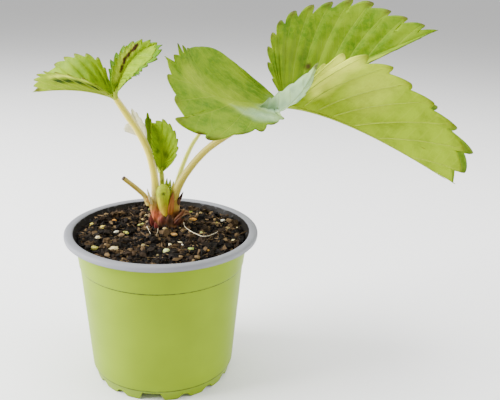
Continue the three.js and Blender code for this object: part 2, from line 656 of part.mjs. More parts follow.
for (const [name, shape] of Object.entries(LEAFLETS)) {
  let geometry = blade(shape, name.startsWith("leaf_b") ? LARGE : MEDIUM);
  if (name === "leaf_b_near") {
    geometry = fromSolid(toSolid(geometry).add(toSolid(blade(ROLLED_LOBE, SMALL))));
  }
  add(name, geometry, shape.colour);
}
for (const [name, shape] of Object.entries(SMALL_LEAFLETS)) add(name, blade(shape, SMALL), shape.colour);
for (const [name, spec] of Object.entries(PETIOLES)) {
  add(name, stalk(spec.points, spec.radii, { steps: spec.steps }), spec.colour);
}
add("crown", crownGeometry(), COLOUR.crown);
add("crown_bud", fromSolid(cutForStalks(toSolid(budGeometry()))), COLOUR.bud);
add("soil", soilGeometry(), COLOUR.soil, 0.95);
add("pot", potGeometry(), COLOUR.pot, 0.55);

export default group;
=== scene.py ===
import math
import random

import bmesh
import bpy
from mathutils import Matrix, Vector, noise


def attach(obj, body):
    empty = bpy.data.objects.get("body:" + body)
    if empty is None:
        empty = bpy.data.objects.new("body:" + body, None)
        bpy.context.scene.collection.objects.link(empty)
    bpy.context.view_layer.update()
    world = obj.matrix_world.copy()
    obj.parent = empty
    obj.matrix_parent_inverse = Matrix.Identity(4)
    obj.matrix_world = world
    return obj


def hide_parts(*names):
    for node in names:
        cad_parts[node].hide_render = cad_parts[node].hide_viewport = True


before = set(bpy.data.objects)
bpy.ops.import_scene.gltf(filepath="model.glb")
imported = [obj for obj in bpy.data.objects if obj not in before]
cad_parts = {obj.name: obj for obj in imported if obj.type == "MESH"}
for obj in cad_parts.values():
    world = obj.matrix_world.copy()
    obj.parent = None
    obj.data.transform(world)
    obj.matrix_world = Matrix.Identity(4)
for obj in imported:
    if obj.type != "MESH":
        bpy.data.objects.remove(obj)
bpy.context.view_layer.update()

bl_info = {
    "name": "Potted Strawberry Plant",
    "version": (1, 0, 0),
    "blender": (4, 5, 0),
    "location": "View3D > Sidebar > Strawberry",
    "description": "Builds the finished skin of a young strawberry plant in a nursery pot",
    "category": "Object",
}

MM = 0.001
BODY = "root"

# ------------------------------------------------- sizes and places, in mm unless said

RIM_OPENING_RADIUS = 47.7
RIM_SKIN_Z = 81.55       # the grey skin shows above this height
WALL = 0.9
WALL_TOP_RADIUS = 47.0
WALL_TOP_Z = 81.4
LEDGE_Z = 67.0
LEDGE_RADIUS = 45.2
LEDGE_STEP = 0.5
CREASE_Z = 6.6
CREASE_RADIUS = 39.9
FOOT_RADIUS = 37.8
FOOT_WIDTH = 3.2
FLOOR_LIFT = 5.0
FOOT_GAP_TOP = 3.0
FLOOR_PAD_RADIUS = 22.0
FOOT_ANGLE = 17.52       # degrees covered by one foot
FOOT_GAP = 4.5           # degrees between two feet of a group
GROUP_GAP = 14.4         # degrees between two groups
FOOT_TAPER = 2.5         # how much wider than above a gap is at the ground, on each side
FEET_PER_GROUP = 5
FOOT_GROUPS = 3
FIRST_FOOT_START = -85.1  # degrees
DRAIN_HOLES = 6
DRAIN_RADIUS = 2.2
DRAIN_CIRCLE = 29.0

SOIL_LEVEL = 80.8
SOIL_RADIUS = 45.3
SOIL_RELIEF = 1.3
SOIL_MOUND = 1.2
SOIL_RINGS = [(45.1, 79.0), (44.5, 69.0), (43.4, 65.0), (38.4, 8.8), (33.4, 6.7)]
CROWN_X = 0.0
CROWN_Y = 11.0

CAMERA_PLACE = (47.7, -350.6, 222.2)
CAMERA_PITCH = 18.83     # degrees downwards
CAMERA_ROLL = 1.87       # degrees
CAMERA_LENS = 49.32
CAMERA_SENSOR = 36.0
LIGHTS_AIM = (30, 0, 110)
WORLD_STRENGTH = 0.68


# ---------------------------------------------------------------- small helpers

def linear(code):
    """The linear colour of an sRGB hex value, with alpha."""
    parts = [int(code[i:i + 2], 16) / 255 for i in (0, 2, 4)]
    return (*[c / 12.92 if c <= 0.04045 else ((c + 0.055) / 1.055) ** 2.4 for c in parts], 1.0)


def lerp(a, b, t):
    return a + (b - a) * t


def clamp(x, low=0.0, high=1.0):
    return max(low, min(high, x))


def smooth(low, high, x):
    """0 below low, 1 above high, and a soft step between."""
    t = clamp((x - low) / (high - low))
    return t * t * (3 - 2 * t)


def add_node(tree, kind, inputs=None, **settings):
    """Adds a shader node, sets its settings, and sets or links its inputs."""
    made = tree.nodes.new("ShaderNode" + kind)
    for name, value in settings.items():
        setattr(made, name, value)
    for name, value in (inputs or {}).items():
        if isinstance(value, bpy.types.NodeSocket):
            tree.links.new(value, made.inputs[name])
        else:
            made.inputs[name].default_value = value
    return made


def new_material(name, finish, build):
    """A Principled material; build(tree, bsdf) links what varies over the surface."""
    made = bpy.data.materials.new(name)
    made.use_nodes = True
    tree = made.node_tree
    bsdf = tree.nodes["Principled BSDF"]
    for socket, value in finish.items():
        bsdf.inputs[socket].default_value = value
    build(tree, bsdf)
    return made


def linked(name, data):
    """A new object in the scene."""
    made = bpy.data.objects.new(name, data)
    bpy.context.scene.collection.objects.link(made)
    return made


def mesh_object(name, bm, materials=()):
    """Turns a bmesh into an object, and frees the bmesh."""
    mesh = bpy.data.meshes.new(name)
    bm.to_mesh(mesh)
    bm.free()
    for material in materials:
        mesh.materials.append(material)
    return linked(name, mesh)


def new_piece(name, bm, materials, slot, nodes=()):
    """Turns a bmesh into a named piece on the plant's one body."""
    piece = mesh_object(name, bm, materials)
    piece.data.shade_smooth()
    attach(piece, BODY)
    if nodes:
        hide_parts(*nodes)
    return piece


def with_modifier(bm, kind, materials=(), others=(), **settings):
    """The bmesh that a modifier makes of another, on objects that are then removed."""
    work = mesh_object("work", bm, materials)
    modifier = work.modifiers.new(kind.title(), kind)
    for name, value in settings.items():
        setattr(modifier, name, value)
    bpy.context.view_layer.update()
    graph = bpy.context.evaluated_depsgraph_get()
    result = bmesh.new()
    result.from_mesh(work.evaluated_get(graph).to_mesh())
    work.evaluated_get(graph).to_mesh_clear()
    for item in (work, *others):
        data = item.data
        bpy.data.objects.remove(item)
        bpy.data.meshes.remove(data)
    return result


def bent_grid(bm, along, around, place, uv_at=None, material=0):
    """Adds a grid and moves each corner to place(a, b) in mm, a and b from 0 to 1."""
    made = bmesh.ops.create_grid(bm, x_segments=along, y_segments=around, size=1)
    verts = made["verts"]
    share = {v: ((v.co.x + 1) / 2, (v.co.y + 1) / 2) for v in verts}
    faces = list({f for v in verts for f in v.link_faces})
    layer = bm.loops.layers.uv.verify()
    for face in faces:
        face.material_index = material
        for loop in face.loops:
            a, b = share[loop.vert]
            loop[layer].uv = uv_at(a, b) if uv_at else (a, b)
    for vert, (a, b) in share.items():
        vert.co = Vector(place(a, b)) * MM
    return verts, faces


def tube(bm, path, radius, sides, steps, material=0, uv_at=None):
    """A closed tube: path(a) gives a point and two directions, radius(a, angle) is in mm."""
    def place(a, b):
        point, front, side = path(a)
        angle = 2 * math.pi * b
        r = 0.0 if a < 1e-6 or a > 1 - 1e-6 else radius(a, angle)
        return point + front * (r * math.cos(angle)) + side * (r * math.sin(angle))

    verts, faces = bent_grid(bm, steps, sides, place, uv_at, material)
    bmesh.ops.remove_doubles(bm, verts=verts, dist=1e-7)
    faces = [f for f in faces if f.is_valid]
    bmesh.ops.recalc_face_normals(bm, faces=faces)
    return faces


def spun(profile, steps):
    """A skin of revolution about +Z from [radius, height] corners in mm."""
    bm = bmesh.new()
    verts = [bm.verts.new((r * MM, 0, z * MM)) for r, z in profile]
    edges = [bm.edges.new(pair) for pair in zip(verts, verts[1:])]
    bmesh.ops.spin(bm, geom=verts + edges, cent=(0, 0, 0), axis=(0, 0, 1), dvec=(0, 0, 0),
                   angle=2 * math.pi, steps=steps, use_merge=True, use_duplicate=False)
    bmesh.ops.remove_doubles(bm, verts=bm.verts, dist=1e-6)
    bmesh.ops.recalc_face_normals(bm, faces=bm.faces)
    return bm


# ---------------------------------------------------------------- settings

def colour_setting(name, text, code):
    return bpy.props.FloatVectorProperty(name=name, description=text, subtype="COLOR", size=4,
                                         min=0, max=1, default=linear(code))


def length_setting(name, text, default, low, high):
    """A length with its limits in mm."""
    return bpy.props.FloatProperty(name=name, description=text, subtype="DISTANCE", unit="LENGTH",
                                   default=default * MM, min=low * MM, max=high * MM)


class PotSettings(bpy.types.PropertyGroup):
    outside: colour_setting("Outside", "Outer skin of the plastic", "738A02")
    inside: colour_setting("Inside", "Inner skin and rim", "7A7B80")
    steps: bpy.props.IntProperty(
        name="Steps round", description="Faces round the pot", default=240, min=60, max=480)


class SoilSettings(bpy.types.PropertyGroup):
    damp: colour_setting("Damp peat", "The wet, dark peat", "0B0907")
    dry: colour_setting("Dry peat", "The drier crumbs on top", "33291F")
    crumbs: bpy.props.IntProperty(
        name="Crumbs", description="Number of loose peat crumbs", default=2300, min=0, max=4000)
    grit: bpy.props.IntProperty(
        name="Grit", description="Number of pale grains and bark chips", default=70, min=0, max=600)


class LeafSettings(bpy.types.PropertyGroup):
    blade: length_setting("Blade", "Thickness of a leaf blade", 0.4, 0.1, 1)
    mature: colour_setting("Mature leaf", "Upper side of a mature leaf", "6A8406")
    young: colour_setting("Young leaf", "Upper side of a young leaf", "7C9600")
    underside: colour_setting("Underside", "Lower side of every leaf", "7C9402")


class StalkSettings(bpy.types.PropertyGroup):
    pale: colour_setting("Young stalk", "Skin of the young leaf stalks", "C6C268")
    olive: colour_setting("Old stalk", "Skin of the oldest leaf stalk", "A89A2C")
    hair: length_setting("Hair", "Length of the hairs on stalks and leaf edges", 1.3, 0.2, 3)


class StageSettings(bpy.types.PropertyGroup):
    key: bpy.props.FloatProperty(name="Key light", description="Power of the large soft light",
                                 subtype="POWER", default=42.0, min=0, max=100)
    floor: colour_setting("Floor", "Colour of the floor", "F4F4F3")


# ---------------------------------------------------------------- material parts

def object_place(tree):
    return add_node(tree, "TexCoord").outputs["Object"]


def clouds(tree, where, scale, detail=2.0):
    """Noise with about `scale` features in a metre."""
    return add_node(tree, "TexNoise", {"Vector": where, "Scale": scale,
                                       "Detail": detail}).outputs["Fac"]


def ramp(tree, value, low, high, start=0.0, end=1.0, kind="LINEAR"):
    """A value moved from low..high to start..end and held at both ends."""
    return add_node(tree, "MapRange", {"Value": value, "From Min": low, "From Max": high,
                                       "To Min": start, "To Max": end},
                    interpolation_type=kind).outputs["Result"]


def count_out(tree, operation, *values):
    """The result of one step of arithmetic."""
    return add_node(tree, "Math", dict(enumerate(values)), operation=operation).outputs[0]


def blend(tree, factor, first, second):
    """One colour mixed over another."""
    return add_node(tree, "Mix", {0: factor, 6: first, 7: second}, data_type="RGBA").outputs[2]


def brightened(tree, colour, value):
    return add_node(tree, "HueSaturation", {"Value": value, "Color": colour}).outputs["Color"]


def add_bump(tree, bsdf, height, strength, depth):
    """Bumps the surface; depth is in mm."""
    bump = add_node(tree, "Bump", {"Height": height, "Strength": strength, "Distance": depth * MM})
    tree.links.new(bump.outputs["Normal"], bsdf.inputs["Normal"])


def painted_tint(tree):
    return add_node(tree, "Attribute", attribute_name="tint").outputs["Color"]


# ---------------------------------------------------------------- materials

def pot_plastic(name, colour, roughness, waves, bands):
    """Thermoformed polypropylene sheet: satin, with faint drawing waves and fine scuffs.

    Bands are heights in mm between which the skin is darkened, by painted shade and, inside, also
    by peat stain.
    """
    def build(tree, bsdf):
        where = object_place(tree)
        height = add_node(tree, "SeparateXYZ", {0: where}).outputs[2]
        # Sheet drawn into a mould thins in soft bands about 25 mm apart.
        tone = ramp(tree, clouds(tree, where, 40.0), 0.3, 0.7, 0.93, 1.07)
        shown = brightened(tree, colour, tone)
        # Noise of about 3 mm, like peat splashes, makes the edges of the painted shade and stain
        # uneven.
        uneven = ramp(tree, clouds(tree, where, 330.0, 4.0), 0.35, 0.6, 0.55, 1.0)
        for low, full_low, full_high, high, code, strength in bands:
            rise = ramp(tree, height, low * MM, full_low * MM, 0.0, strength, "SMOOTHSTEP")
            drop = ramp(tree, height, full_high * MM, high * MM, 1.0, 0.0, "SMOOTHSTEP")
            share = count_out(tree, "MULTIPLY", count_out(tree, "MULTIPLY", rise, drop), uneven)
            shown = blend(tree, share, shown, linear(code))
        tree.links.new(shown, bsdf.inputs["Base Color"])
        # Grain of the mould, 0.6 mm, drawn coarser than it is so that it shows.
        grain = clouds(tree, where, 1600.0, 3.0)
        soft = clouds(tree, where, 110.0, 1.0)
        add_bump(tree, bsdf, count_out(tree, "ADD", grain, soft), waves, 0.12)
    return new_material(name, {"Roughness": roughness, "IOR": 1.49, "Specular IOR Level": 0.12},
                        build)


def peat(name):
    """Damp black peat: the tint is painted, near-black in the hollows, partly as painted shade,
    with no gloss.
    """
    def build(tree, bsdf):
        grain = clouds(tree, object_place(tree), 900.0, 3.0)
        tone = ramp(tree, grain, 0.35, 0.65, 0.45, 1.5)
        tree.links.new(brightened(tree, painted_tint(tree), tone), bsdf.inputs["Base Color"])
        add_bump(tree, bsdf, grain, 0.6, 0.3)
    return new_material(name, {"Roughness": 0.9, "Specular IOR Level": 0.15}, build)


def speckled(name, scale, detail, low, high, amount, over, bump, depth, finish, squash=None):
    """A painted tint under specks or fibres of a second colour, `over`."""
    def build(tree, bsdf):
        where = object_place(tree)
        tint = painted_tint(tree)
        if squash:
            where = add_node(tree, "Mapping", {"Vector": where, "Scale": squash}).outputs[0]
        specks = clouds(tree, where, scale, detail)
        share = ramp(tree, specks, low, high, 0.0, amount)
        tree.links.new(blend(tree, share, tint, linear(over)), bsdf.inputs["Base Color"])
        add_bump(tree, bsdf, specks, bump, depth)
    return new_material(name, finish, build)


def tinted_grains(name):
    """Perlite, bark and other bits: each grain carries its own tint, dusted with peat."""
    return speckled(name, 1100.0, 3.0, 0.52, 0.72, 0.55, "3A3024", 0.4, 0.2,
                    {"Roughness": 0.8, "Specular IOR Level": 0.1})


def crown_tissue(name):
    """Woody crown with leaf bases: the tint is painted, with brown fibres and scale edges."""
    return speckled(name, 900.0, 4.0, 0.5, 0.75, 0.5, "6B3F28", 0.6, 0.25,
                    {"Roughness": 0.55, "Specular IOR Level": 0.15}, (1.0, 1.0, 0.22))


# Marks painted on the blades: 'pale' lightens, in places as a painted highlight; 'dark' is painted
# shade; the third is the waxy coat with a painted sheen; 'burn' is scorched tissue.
MARKS = {"pale": "DAE24A", "dark": "1F3606", "wax_and_sheen": "C6E8B4", "burn": "3A2412"}
THIN_BLOOM = "98BC9E"    # the waxy coat, with its painted sheen, where it is worn thin
VEIN_SHARE = 0.62        # where in each tooth its side vein ends
PHASE_SCALE = 20.0       # teeth in one unit of the blade map's U


def leaf_tissue(name, deep, light, vein, roughness, relief, vein_mix=0.3):
    """Living leaf: two greens in soft patches, paler veins, a fine net, burnt spots, a waxy coat
    with a painted sheen, painted shade, and pale patches that are partly a painted highlight.

    The blade map's U counts teeth along the margin and V runs from midrib to margin.
    """
    def build(tree, bsdf):
        def maths(operation, *values):
            return count_out(tree, operation, *values)

        def step(value, low, high, start=0.0, end=1.0):
            return ramp(tree, value, low, high, start, end, "SMOOTHSTEP")

        where = object_place(tree)
        blade = add_node(tree, "UVMap", uv_map="Blade").outputs[0]
        split = add_node(tree, "SeparateXYZ", {0: blade})
        phase = maths("MULTIPLY", split.outputs[0], PHASE_SCALE)
        out = split.outputs[1]
        offset = maths("ABSOLUTE", maths("SUBTRACT", maths("FRACT", phase), VEIN_SHARE))
        width = step(out, 0.0, 1.0, 0.05, 0.025)
        side = maths("MULTIPLY", step(maths("DIVIDE", offset, width), 0.35, 1.5, 1.0, 0.0),
                     step(out, 0.86, 1.0, 1.0, 0.15))
        rib = step(out, 0.008, 0.035, 1.0, 0.0)
        # Branches leave each side vein towards the margin, 5 to 6 mm apart.
        slope = maths("SUBTRACT", maths("MULTIPLY", out, 7.0), maths("MULTIPLY", offset, 3.4))
        branch = step(maths("ABSOLUTE", maths("SUBTRACT", maths("FRACT", slope), 0.5)),
                      0.03, 0.11, 0.45, 0.0)
        # The finest net has meshes of about 1.2 mm.
        net = add_node(tree, "TexVoronoi", {"Vector": where, "Scale": 820.0},
                       feature="DISTANCE_TO_EDGE").outputs["Distance"]
        mesh = step(net, 0.02, 0.16, 0.22, 0.0)
        veins = maths("MAXIMUM", maths("MAXIMUM", side, rib), maths("MAXIMUM", branch, mesh))

        patch = add_node(tree, "TexNoise", {"Vector": where, "Scale": 75.0, "Detail": 3.0,
                                            "Roughness": 0.55}).outputs["Fac"]
        speck = clouds(tree, where, 420.0)
        colour = blend(tree, step(patch, 0.34, 0.66), linear(deep), light)
        colour = blend(tree, step(speck, 0.42, 0.62, 0.0, 0.45), colour, light)
        colour = blend(tree, maths("MULTIPLY", veins, vein_mix), colour, linear(vein))
        wax_and_sheen_tint = blend(tree, step(patch, 0.3, 0.62), linear(THIN_BLOOM), linear(MARKS["wax_and_sheen"]))
        # The marks lay painted shade, painted highlight, the waxy coat with its painted sheen, and
        # burns over the greens.
        for mark, code in MARKS.items():
            share = add_node(tree, "Attribute", attribute_name=mark).outputs["Fac"]
            colour = blend(tree, share, colour, wax_and_sheen_tint if mark == "wax_and_sheen" else linear(code))
        tree.links.new(colour, bsdf.inputs["Base Color"])
        height = maths("MULTIPLY_ADD", veins, relief, maths("MULTIPLY", speck, 0.35))
        add_bump(tree, bsdf, height, 0.55, 0.25)
    return new_material(name, {"Roughness": roughness, "Specular IOR Level": 0.06}, build)


def stalk_skin(name, body, flank, low, low_until):
    """Fleshy stalk with long fibres: paler flanks, a greener front, and a coloured foot.

    The map's U runs round the stalk and V along it.
    """
    def build(tree, bsdf):
        where = object_place(tree)
        skin = add_node(tree, "UVMap", uv_map="Stalk").outputs[0]
        round_, along, _ = add_node(tree, "SeparateXYZ", {0: skin}).outputs
        front = count_out(tree, "COSINE", count_out(tree, "MULTIPLY", round_, 2 * math.pi))
        colour = blend(tree, ramp(tree, front, -0.2, 0.9, 1.0, 0.0), body, flank)
        colour = blend(tree, ramp(tree, along, 0.0, low_until, 1.0, 0.0), colour, linear(low))
        # Fibres about 0.7 mm wide run the length of the stalk.
        flat = add_node(tree, "CombineXYZ", {0: round_, 1: along}).outputs[0]
        lines = add_node(tree, "Mapping", {"Vector": flat, "Scale": (16.0, 2.5, 1.0)}).outputs[0]
        fibre = clouds(tree, lines, 1.0, 3.0)
        shown = brightened(tree, colour, ramp(tree, fibre, 0.3, 0.7, 0.88, 1.08))
        tree.links.new(shown, bsdf.inputs["Base Color"])
        pits = clouds(tree, where, 1500.0)
        add_bump(tree, bsdf, count_out(tree, "ADD", fibre, pits), 0.4, 0.15)
    return new_material(name, {"Roughness": 0.5, "Specular IOR Level": 0.4}, build)


def plain_fibre(name, colour, dark, roughness=0.6):
    """Dry or hairy plant fibre: one colour broken by a darker one in fine streaks."""
    def build(tree, bsdf):
        streak = clouds(tree, object_place(tree), 700.0, 3.0)
        share = ramp(tree, streak, 0.4, 0.65)
        tree.links.new(blend(tree, share, linear(colour), linear(dark)), bsdf.inputs["Base Color"])
        add_bump(tree, bsdf, streak, 0.3, 0.1)
    return new_material(name, {"Roughness": roughness, "Specular IOR Level": 0.3}, build)


# ---------------------------------------------------------------- pot

# Painted shade and peat stain on the three skins: from, full from, full to, to, tint and strength.
# Outside: painted shade in the step of the ledge, under the lip and in the crease above the feet;
# the last band darkens the foot towards the ground.
OUTSIDE_SHADE_BANDS = [(65.9, 66.3, 66.7, 67.1, "222C04", 0.95), (80.6, 81.1, 84.0, 84.5, "3A4220", 0.8),
                (6.0, 6.5, 6.85, 7.3, "222C04", 0.9), (-1.0, 0.0, 0.3, 1.2, "3A3A18", 0.35)]
# Rim: painted shade under the rolled lip.
RIM_SHADE_BANDS = [(81.2, 81.6, 82.0, 82.6, "4A4946", 0.6)]
# Inside: painted shade and peat stain over the inner wall below the rim.
INSIDE_SHADE_AND_STAIN = [(0.0, 1.0, 83.9, 84.7, "171410", 1.6)]


def foot_gaps():
    """Middle angle and width, in degrees, of every gap between two feet."""
    angle = FIRST_FOOT_START
    for _ in range(FOOT_GROUPS):
        for foot in range(1, FEET_PER_GROUP + 1):
            angle += FOOT_ANGLE
            width = FOOT_GAP if foot < FEET_PER_GROUP else GROUP_GAP
            yield angle + width / 2, width
            angle += width


def pot_cutter():
    """Everything that is cut out of the pot's foot: the gaps between feet and the drains."""
    bm = bmesh.new()
    for angle, width in foot_gaps():
        half = math.radians(width / 2) * FOOT_RADIUS
        low = half + FOOT_TAPER
        top = FOOT_GAP_TOP if width == FOOT_GAP else FLOOR_LIFT
        flank = [(low + 0.5, -1), (low + 0.5, 0), (low, 0.08), (low - 0.35, 0.3), (low - 0.7, 0.8),
                 (half + 0.25, top - 0.45), (half, top - 0.15), (half - 0.4, top)]
        outline = flank + [(-y, z) for y, z in reversed(flank)]
        inner = FOOT_RADIUS - FOOT_WIDTH - 1.6
        verts = [bm.verts.new((inner * MM, y * MM, z * MM)) for y, z in outline]
        face = bm.faces.new(verts)
        pushed = bmesh.ops.extrude_face_region(bm, geom=[face])["geom"]
        outer = [v for v in pushed if isinstance(v, bmesh.types.BMVert)]
        bmesh.ops.translate(bm, verts=outer, vec=(12 * MM, 0, 0))
        bmesh.ops.rotate(bm, verts=verts + outer, cent=(0, 0, 0),
                         matrix=Matrix.Rotation(math.radians(angle), 3, "Z"))
    for i in range(DRAIN_HOLES):
        turn = Matrix.Rotation(2 * math.pi * (i + 0.5) / DRAIN_HOLES, 4, "Z")
        shift = Matrix.Translation((DRAIN_CIRCLE * MM, 0, FLOOR_LIFT * MM))
        bmesh.ops.create_cone(bm, cap_ends=True, cap_tris=False, segments=20,
                              radius1=DRAIN_RADIUS * MM, radius2=DRAIN_RADIUS * MM,
                              depth=4 * MM, matrix=turn @ shift)
    bmesh.ops.recalc_face_normals(bm, faces=bm.faces)
    return mesh_object("cutter", bm)


def pot_profile():
    """[radius, height] corners of the pot's wall, from the middle of the floor and back."""
    foot = FOOT_RADIUS - FOOT_WIDTH
    pad = FLOOR_PAD_RADIUS + 1.5
    ledge = LEDGE_RADIUS - LEDGE_STEP
    wall = [(lerp(CREASE_RADIUS, ledge, t), lerp(CREASE_Z, LEDGE_Z - 0.9, t))
            for t in (0.06, 0.3, 0.6, 0.97)]
    upper = [(lerp(LEDGE_RADIUS, WALL_TOP_RADIUS, t), lerp(LEDGE_Z + 0.5, WALL_TOP_Z, t))
             for t in (0.04, 0.5, 0.93)]
    rim = [(47.05, 81.5), (47.25, 82.3), (47.7, 82.95), (48.5, 83.3), (49.8, 83.4), (50.9, 83.35),
           (51.25, 83.1), (51.4, 82.6), (51.5, 82.15), (51.75, 81.95), (52.1, 81.95),
           (52.35, 82.2), (52.47, 82.8), (52.5, 83.6), (52.35, 84.25), (51.95, 84.7),
           (51.3, 84.95), (50.4, 85.0), (49.3, 84.95), (48.5, 84.8), (47.95, 84.5),
           (47.65, 84.0), (47.45, 83.2), (47.1, 82.3), (46.5, 81.3)]
    inside = [(r - WALL, z + 0.1) for r, z in reversed(upper)]
    inside += [(ledge - WALL, LEDGE_Z - 0.7)]
    inside += [(r - WALL, z) for r, z in reversed(wall)]
    return ([(0, 0), (FLOOR_PAD_RADIUS - 0.6, 0), (FLOOR_PAD_RADIUS, 0.1), (pad, FLOOR_LIFT - 0.3),
             (pad + 0.5, FLOOR_LIFT), (foot - 1, FLOOR_LIFT), (foot - 0.5, FLOOR_LIFT - 0.3),
             (foot - 0.1, 0.3), (foot + 0.3, 0), (FOOT_RADIUS - 0.4, 0), (FOOT_RADIUS - 0.1, 0.15),
             (FOOT_RADIUS + 0.05, 0.5), (CREASE_RADIUS - 1.0, CREASE_Z - 1.3),
             (CREASE_RADIUS - 0.35, CREASE_Z - 0.6), (CREASE_RADIUS, CREASE_Z + 0.3)]
            + wall + [(ledge, LEDGE_Z - 0.75), (ledge + 0.06, LEDGE_Z - 0.45),
                      (LEDGE_RADIUS - 0.12, LEDGE_Z - 0.2), (LEDGE_RADIUS, LEDGE_Z + 0.1)]
            + upper + [(WALL_TOP_RADIUS - 0.05, WALL_TOP_Z - 0.5)] + rim + inside
            + [(CREASE_RADIUS - WALL, CREASE_Z + 0.2), (foot - 1, FLOOR_LIFT + WALL + 0.4),
               (foot - 2, FLOOR_LIFT + WALL), (pad - 0.6, FLOOR_LIFT + WALL),
               (FLOOR_PAD_RADIUS - 0.7, WALL), (0, WALL)])


class STRAWBERRY_OT_pot(bpy.types.Operator):
    """Spins the pot's thin wall with its ledge and rolled rim, and cuts its feet and drains"""
    bl_idname = "strawberry.pot"
    bl_label = "Pot"

    def execute(self, context):
        settings = context.scene.strawberry_pot
        bm = spun(pot_profile(), settings.steps)
        cutter = pot_cutter()
        skins = (pot_plastic("moulded polypropylene, yellow-green skin", settings.outside,
                             0.42, 0.22, OUTSIDE_SHADE_BANDS),
                 pot_plastic("moulded polypropylene, grey skin", settings.inside, 0.5, 0.2,
                             RIM_SHADE_BANDS),
                 # The inner wall is darkened by painted shade and peat stain.
                 pot_plastic("moulded polypropylene, grey skin under peat", settings.inside,
                             0.6, 0.2, INSIDE_SHADE_AND_STAIN))
        bm = with_modifier(bm, "BOOLEAN", skins, (cutter,), object=cutter,
                           operation="DIFFERENCE", solver="EXACT")
        for face in bm.faces:
            middle = face.calc_center_median() / MM
            radius = math.hypot(middle.x, middle.y)
            rim = middle.z > RIM_SKIN_Z
            within = middle.z > 1 and radius < self.skin(middle.z) and face.normal.z > -0.9
            if rim or within:
                face.material_index = 2 if radius < RIM_OPENING_RADIUS + 0.2 else 1
            else:
                face.material_index = 0
        piece = new_piece("pot_shell", bm, skins, "pot_plastic", ("pot",))
        piece.data.set_sharp_from_angle(angle=math.radians(38))
        return {"FINISHED"}

    @staticmethod
    def skin(z):
        """Radius halfway through the wall at a height in mm."""
        if z > LEDGE_Z:
            outer = lerp(LEDGE_RADIUS, WALL_TOP_RADIUS, (z - LEDGE_Z) / (WALL_TOP_Z - LEDGE_Z))
        else:
            share = (z - CREASE_Z) / (LEDGE_Z - CREASE_Z)
            outer = lerp(CREASE_RADIUS, LEDGE_RADIUS - LEDGE_STEP, share)
        return outer - WALL / 2 if z > CREASE_Z else FOOT_RADIUS - FOOT_WIDTH - 1


# ---------------------------------------------------------------- soil

def soil_height(x, y):
    """Height of the clods above the soil level, as in the solid."""
    clods = (math.sin(0.61 * x + 1.3 * math.sin(0.37 * y))
             * math.sin(0.53 * y + 1.1 * math.sin(0.41 * x)))
    crumbs = (math.sin(1.9 * x + 2.1 * math.sin(0.9 * y))
              * math.sin(1.7 * y + 1.9 * math.sin(1.1 * x)))
    near = math.exp(-((x - CROWN_X) ** 2 + (y - CROWN_Y) ** 2) / 160)
    return SOIL_RELIEF * (0.55 * clods + 0.45 * crumbs) * (1 - 0.6 * near) + SOIL_MOUND * near


def crumbled(x, y):
    """The solid's height with lumps of 1 to 3 mm on it, banked to the back and the left."""
    where = Vector((x, y, 0))
    lumps = 0.6 - noise.voronoi(where / 2.6)[0][0]
    fine = 0.5 - noise.voronoi(where / 1.1 + Vector((9, 4, 0)))[0][0]
    banked = 1.6 * smooth(5, 42, y) + 0.8 * smooth(15, 44, -x)
    broad = noise.noise(where / 6)
    return soil_height(x, y) + 1.9 * lumps + 1.3 * fine + 1.2 * broad + banked - 0.4


def add_lump(bm, spot, lift, size, turn, rough, code, finer=1):
    """A rough crumb or grain, lifted off the soil at a spot; size is three half-lengths in mm."""
    place = Vector((*spot, SOIL_LEVEL + (crumbled(*spot) + lift)))
    tint = linear(code)
    made = bmesh.ops.create_icosphere(bm, subdivisions=finer, radius=1)["verts"]
    layer = bm.verts.layers.float_color["tint"]
    for vert in made:
        coarse = noise.noise(vert.co * 1.7 + place)
        vert.co *= 1 + rough * (coarse + 0.5 * noise.noise(vert.co * 4 + place))
        vert[layer] = tint
    matrix = (Matrix.Translation(place * MM) @ turn.to_4x4()
              @ Matrix.Diagonal((*[s * MM for s in size], 1)))
    bmesh.ops.transform(bm, matrix=matrix, verts=made)


def painted_bmesh():
    """An empty bmesh whose corners can be tinted."""
    bm = bmesh.new()
    bm.verts.layers.float_color.new("tint")
    return bm


def any_turn(rng):
    """A random rotation."""
    return (Matrix.Rotation(rng.uniform(0, 2 * math.pi), 3, "Z")
            @ Matrix.Rotation(rng.uniform(-0.7, 0.7), 3, "X"))


# Tints of the peat crumbs, the wettest first.
PEAT_TINTS = ["050403", "080604", "0D0906", "17110B", "261C12", "382A1A", "4F3E29", "6C583D"]

# Tints of the pale grains, with how often each comes.
GRAIN_TINTS = [("8A7A55", 5), ("A8925E", 4), ("C9B98A", 3), ("D9D2BC", 2), ("6E5A3C", 6),
               ("9AA24A", 2), ("B9C178", 1), ("C08A3E", 1), ("57493A", 6)]

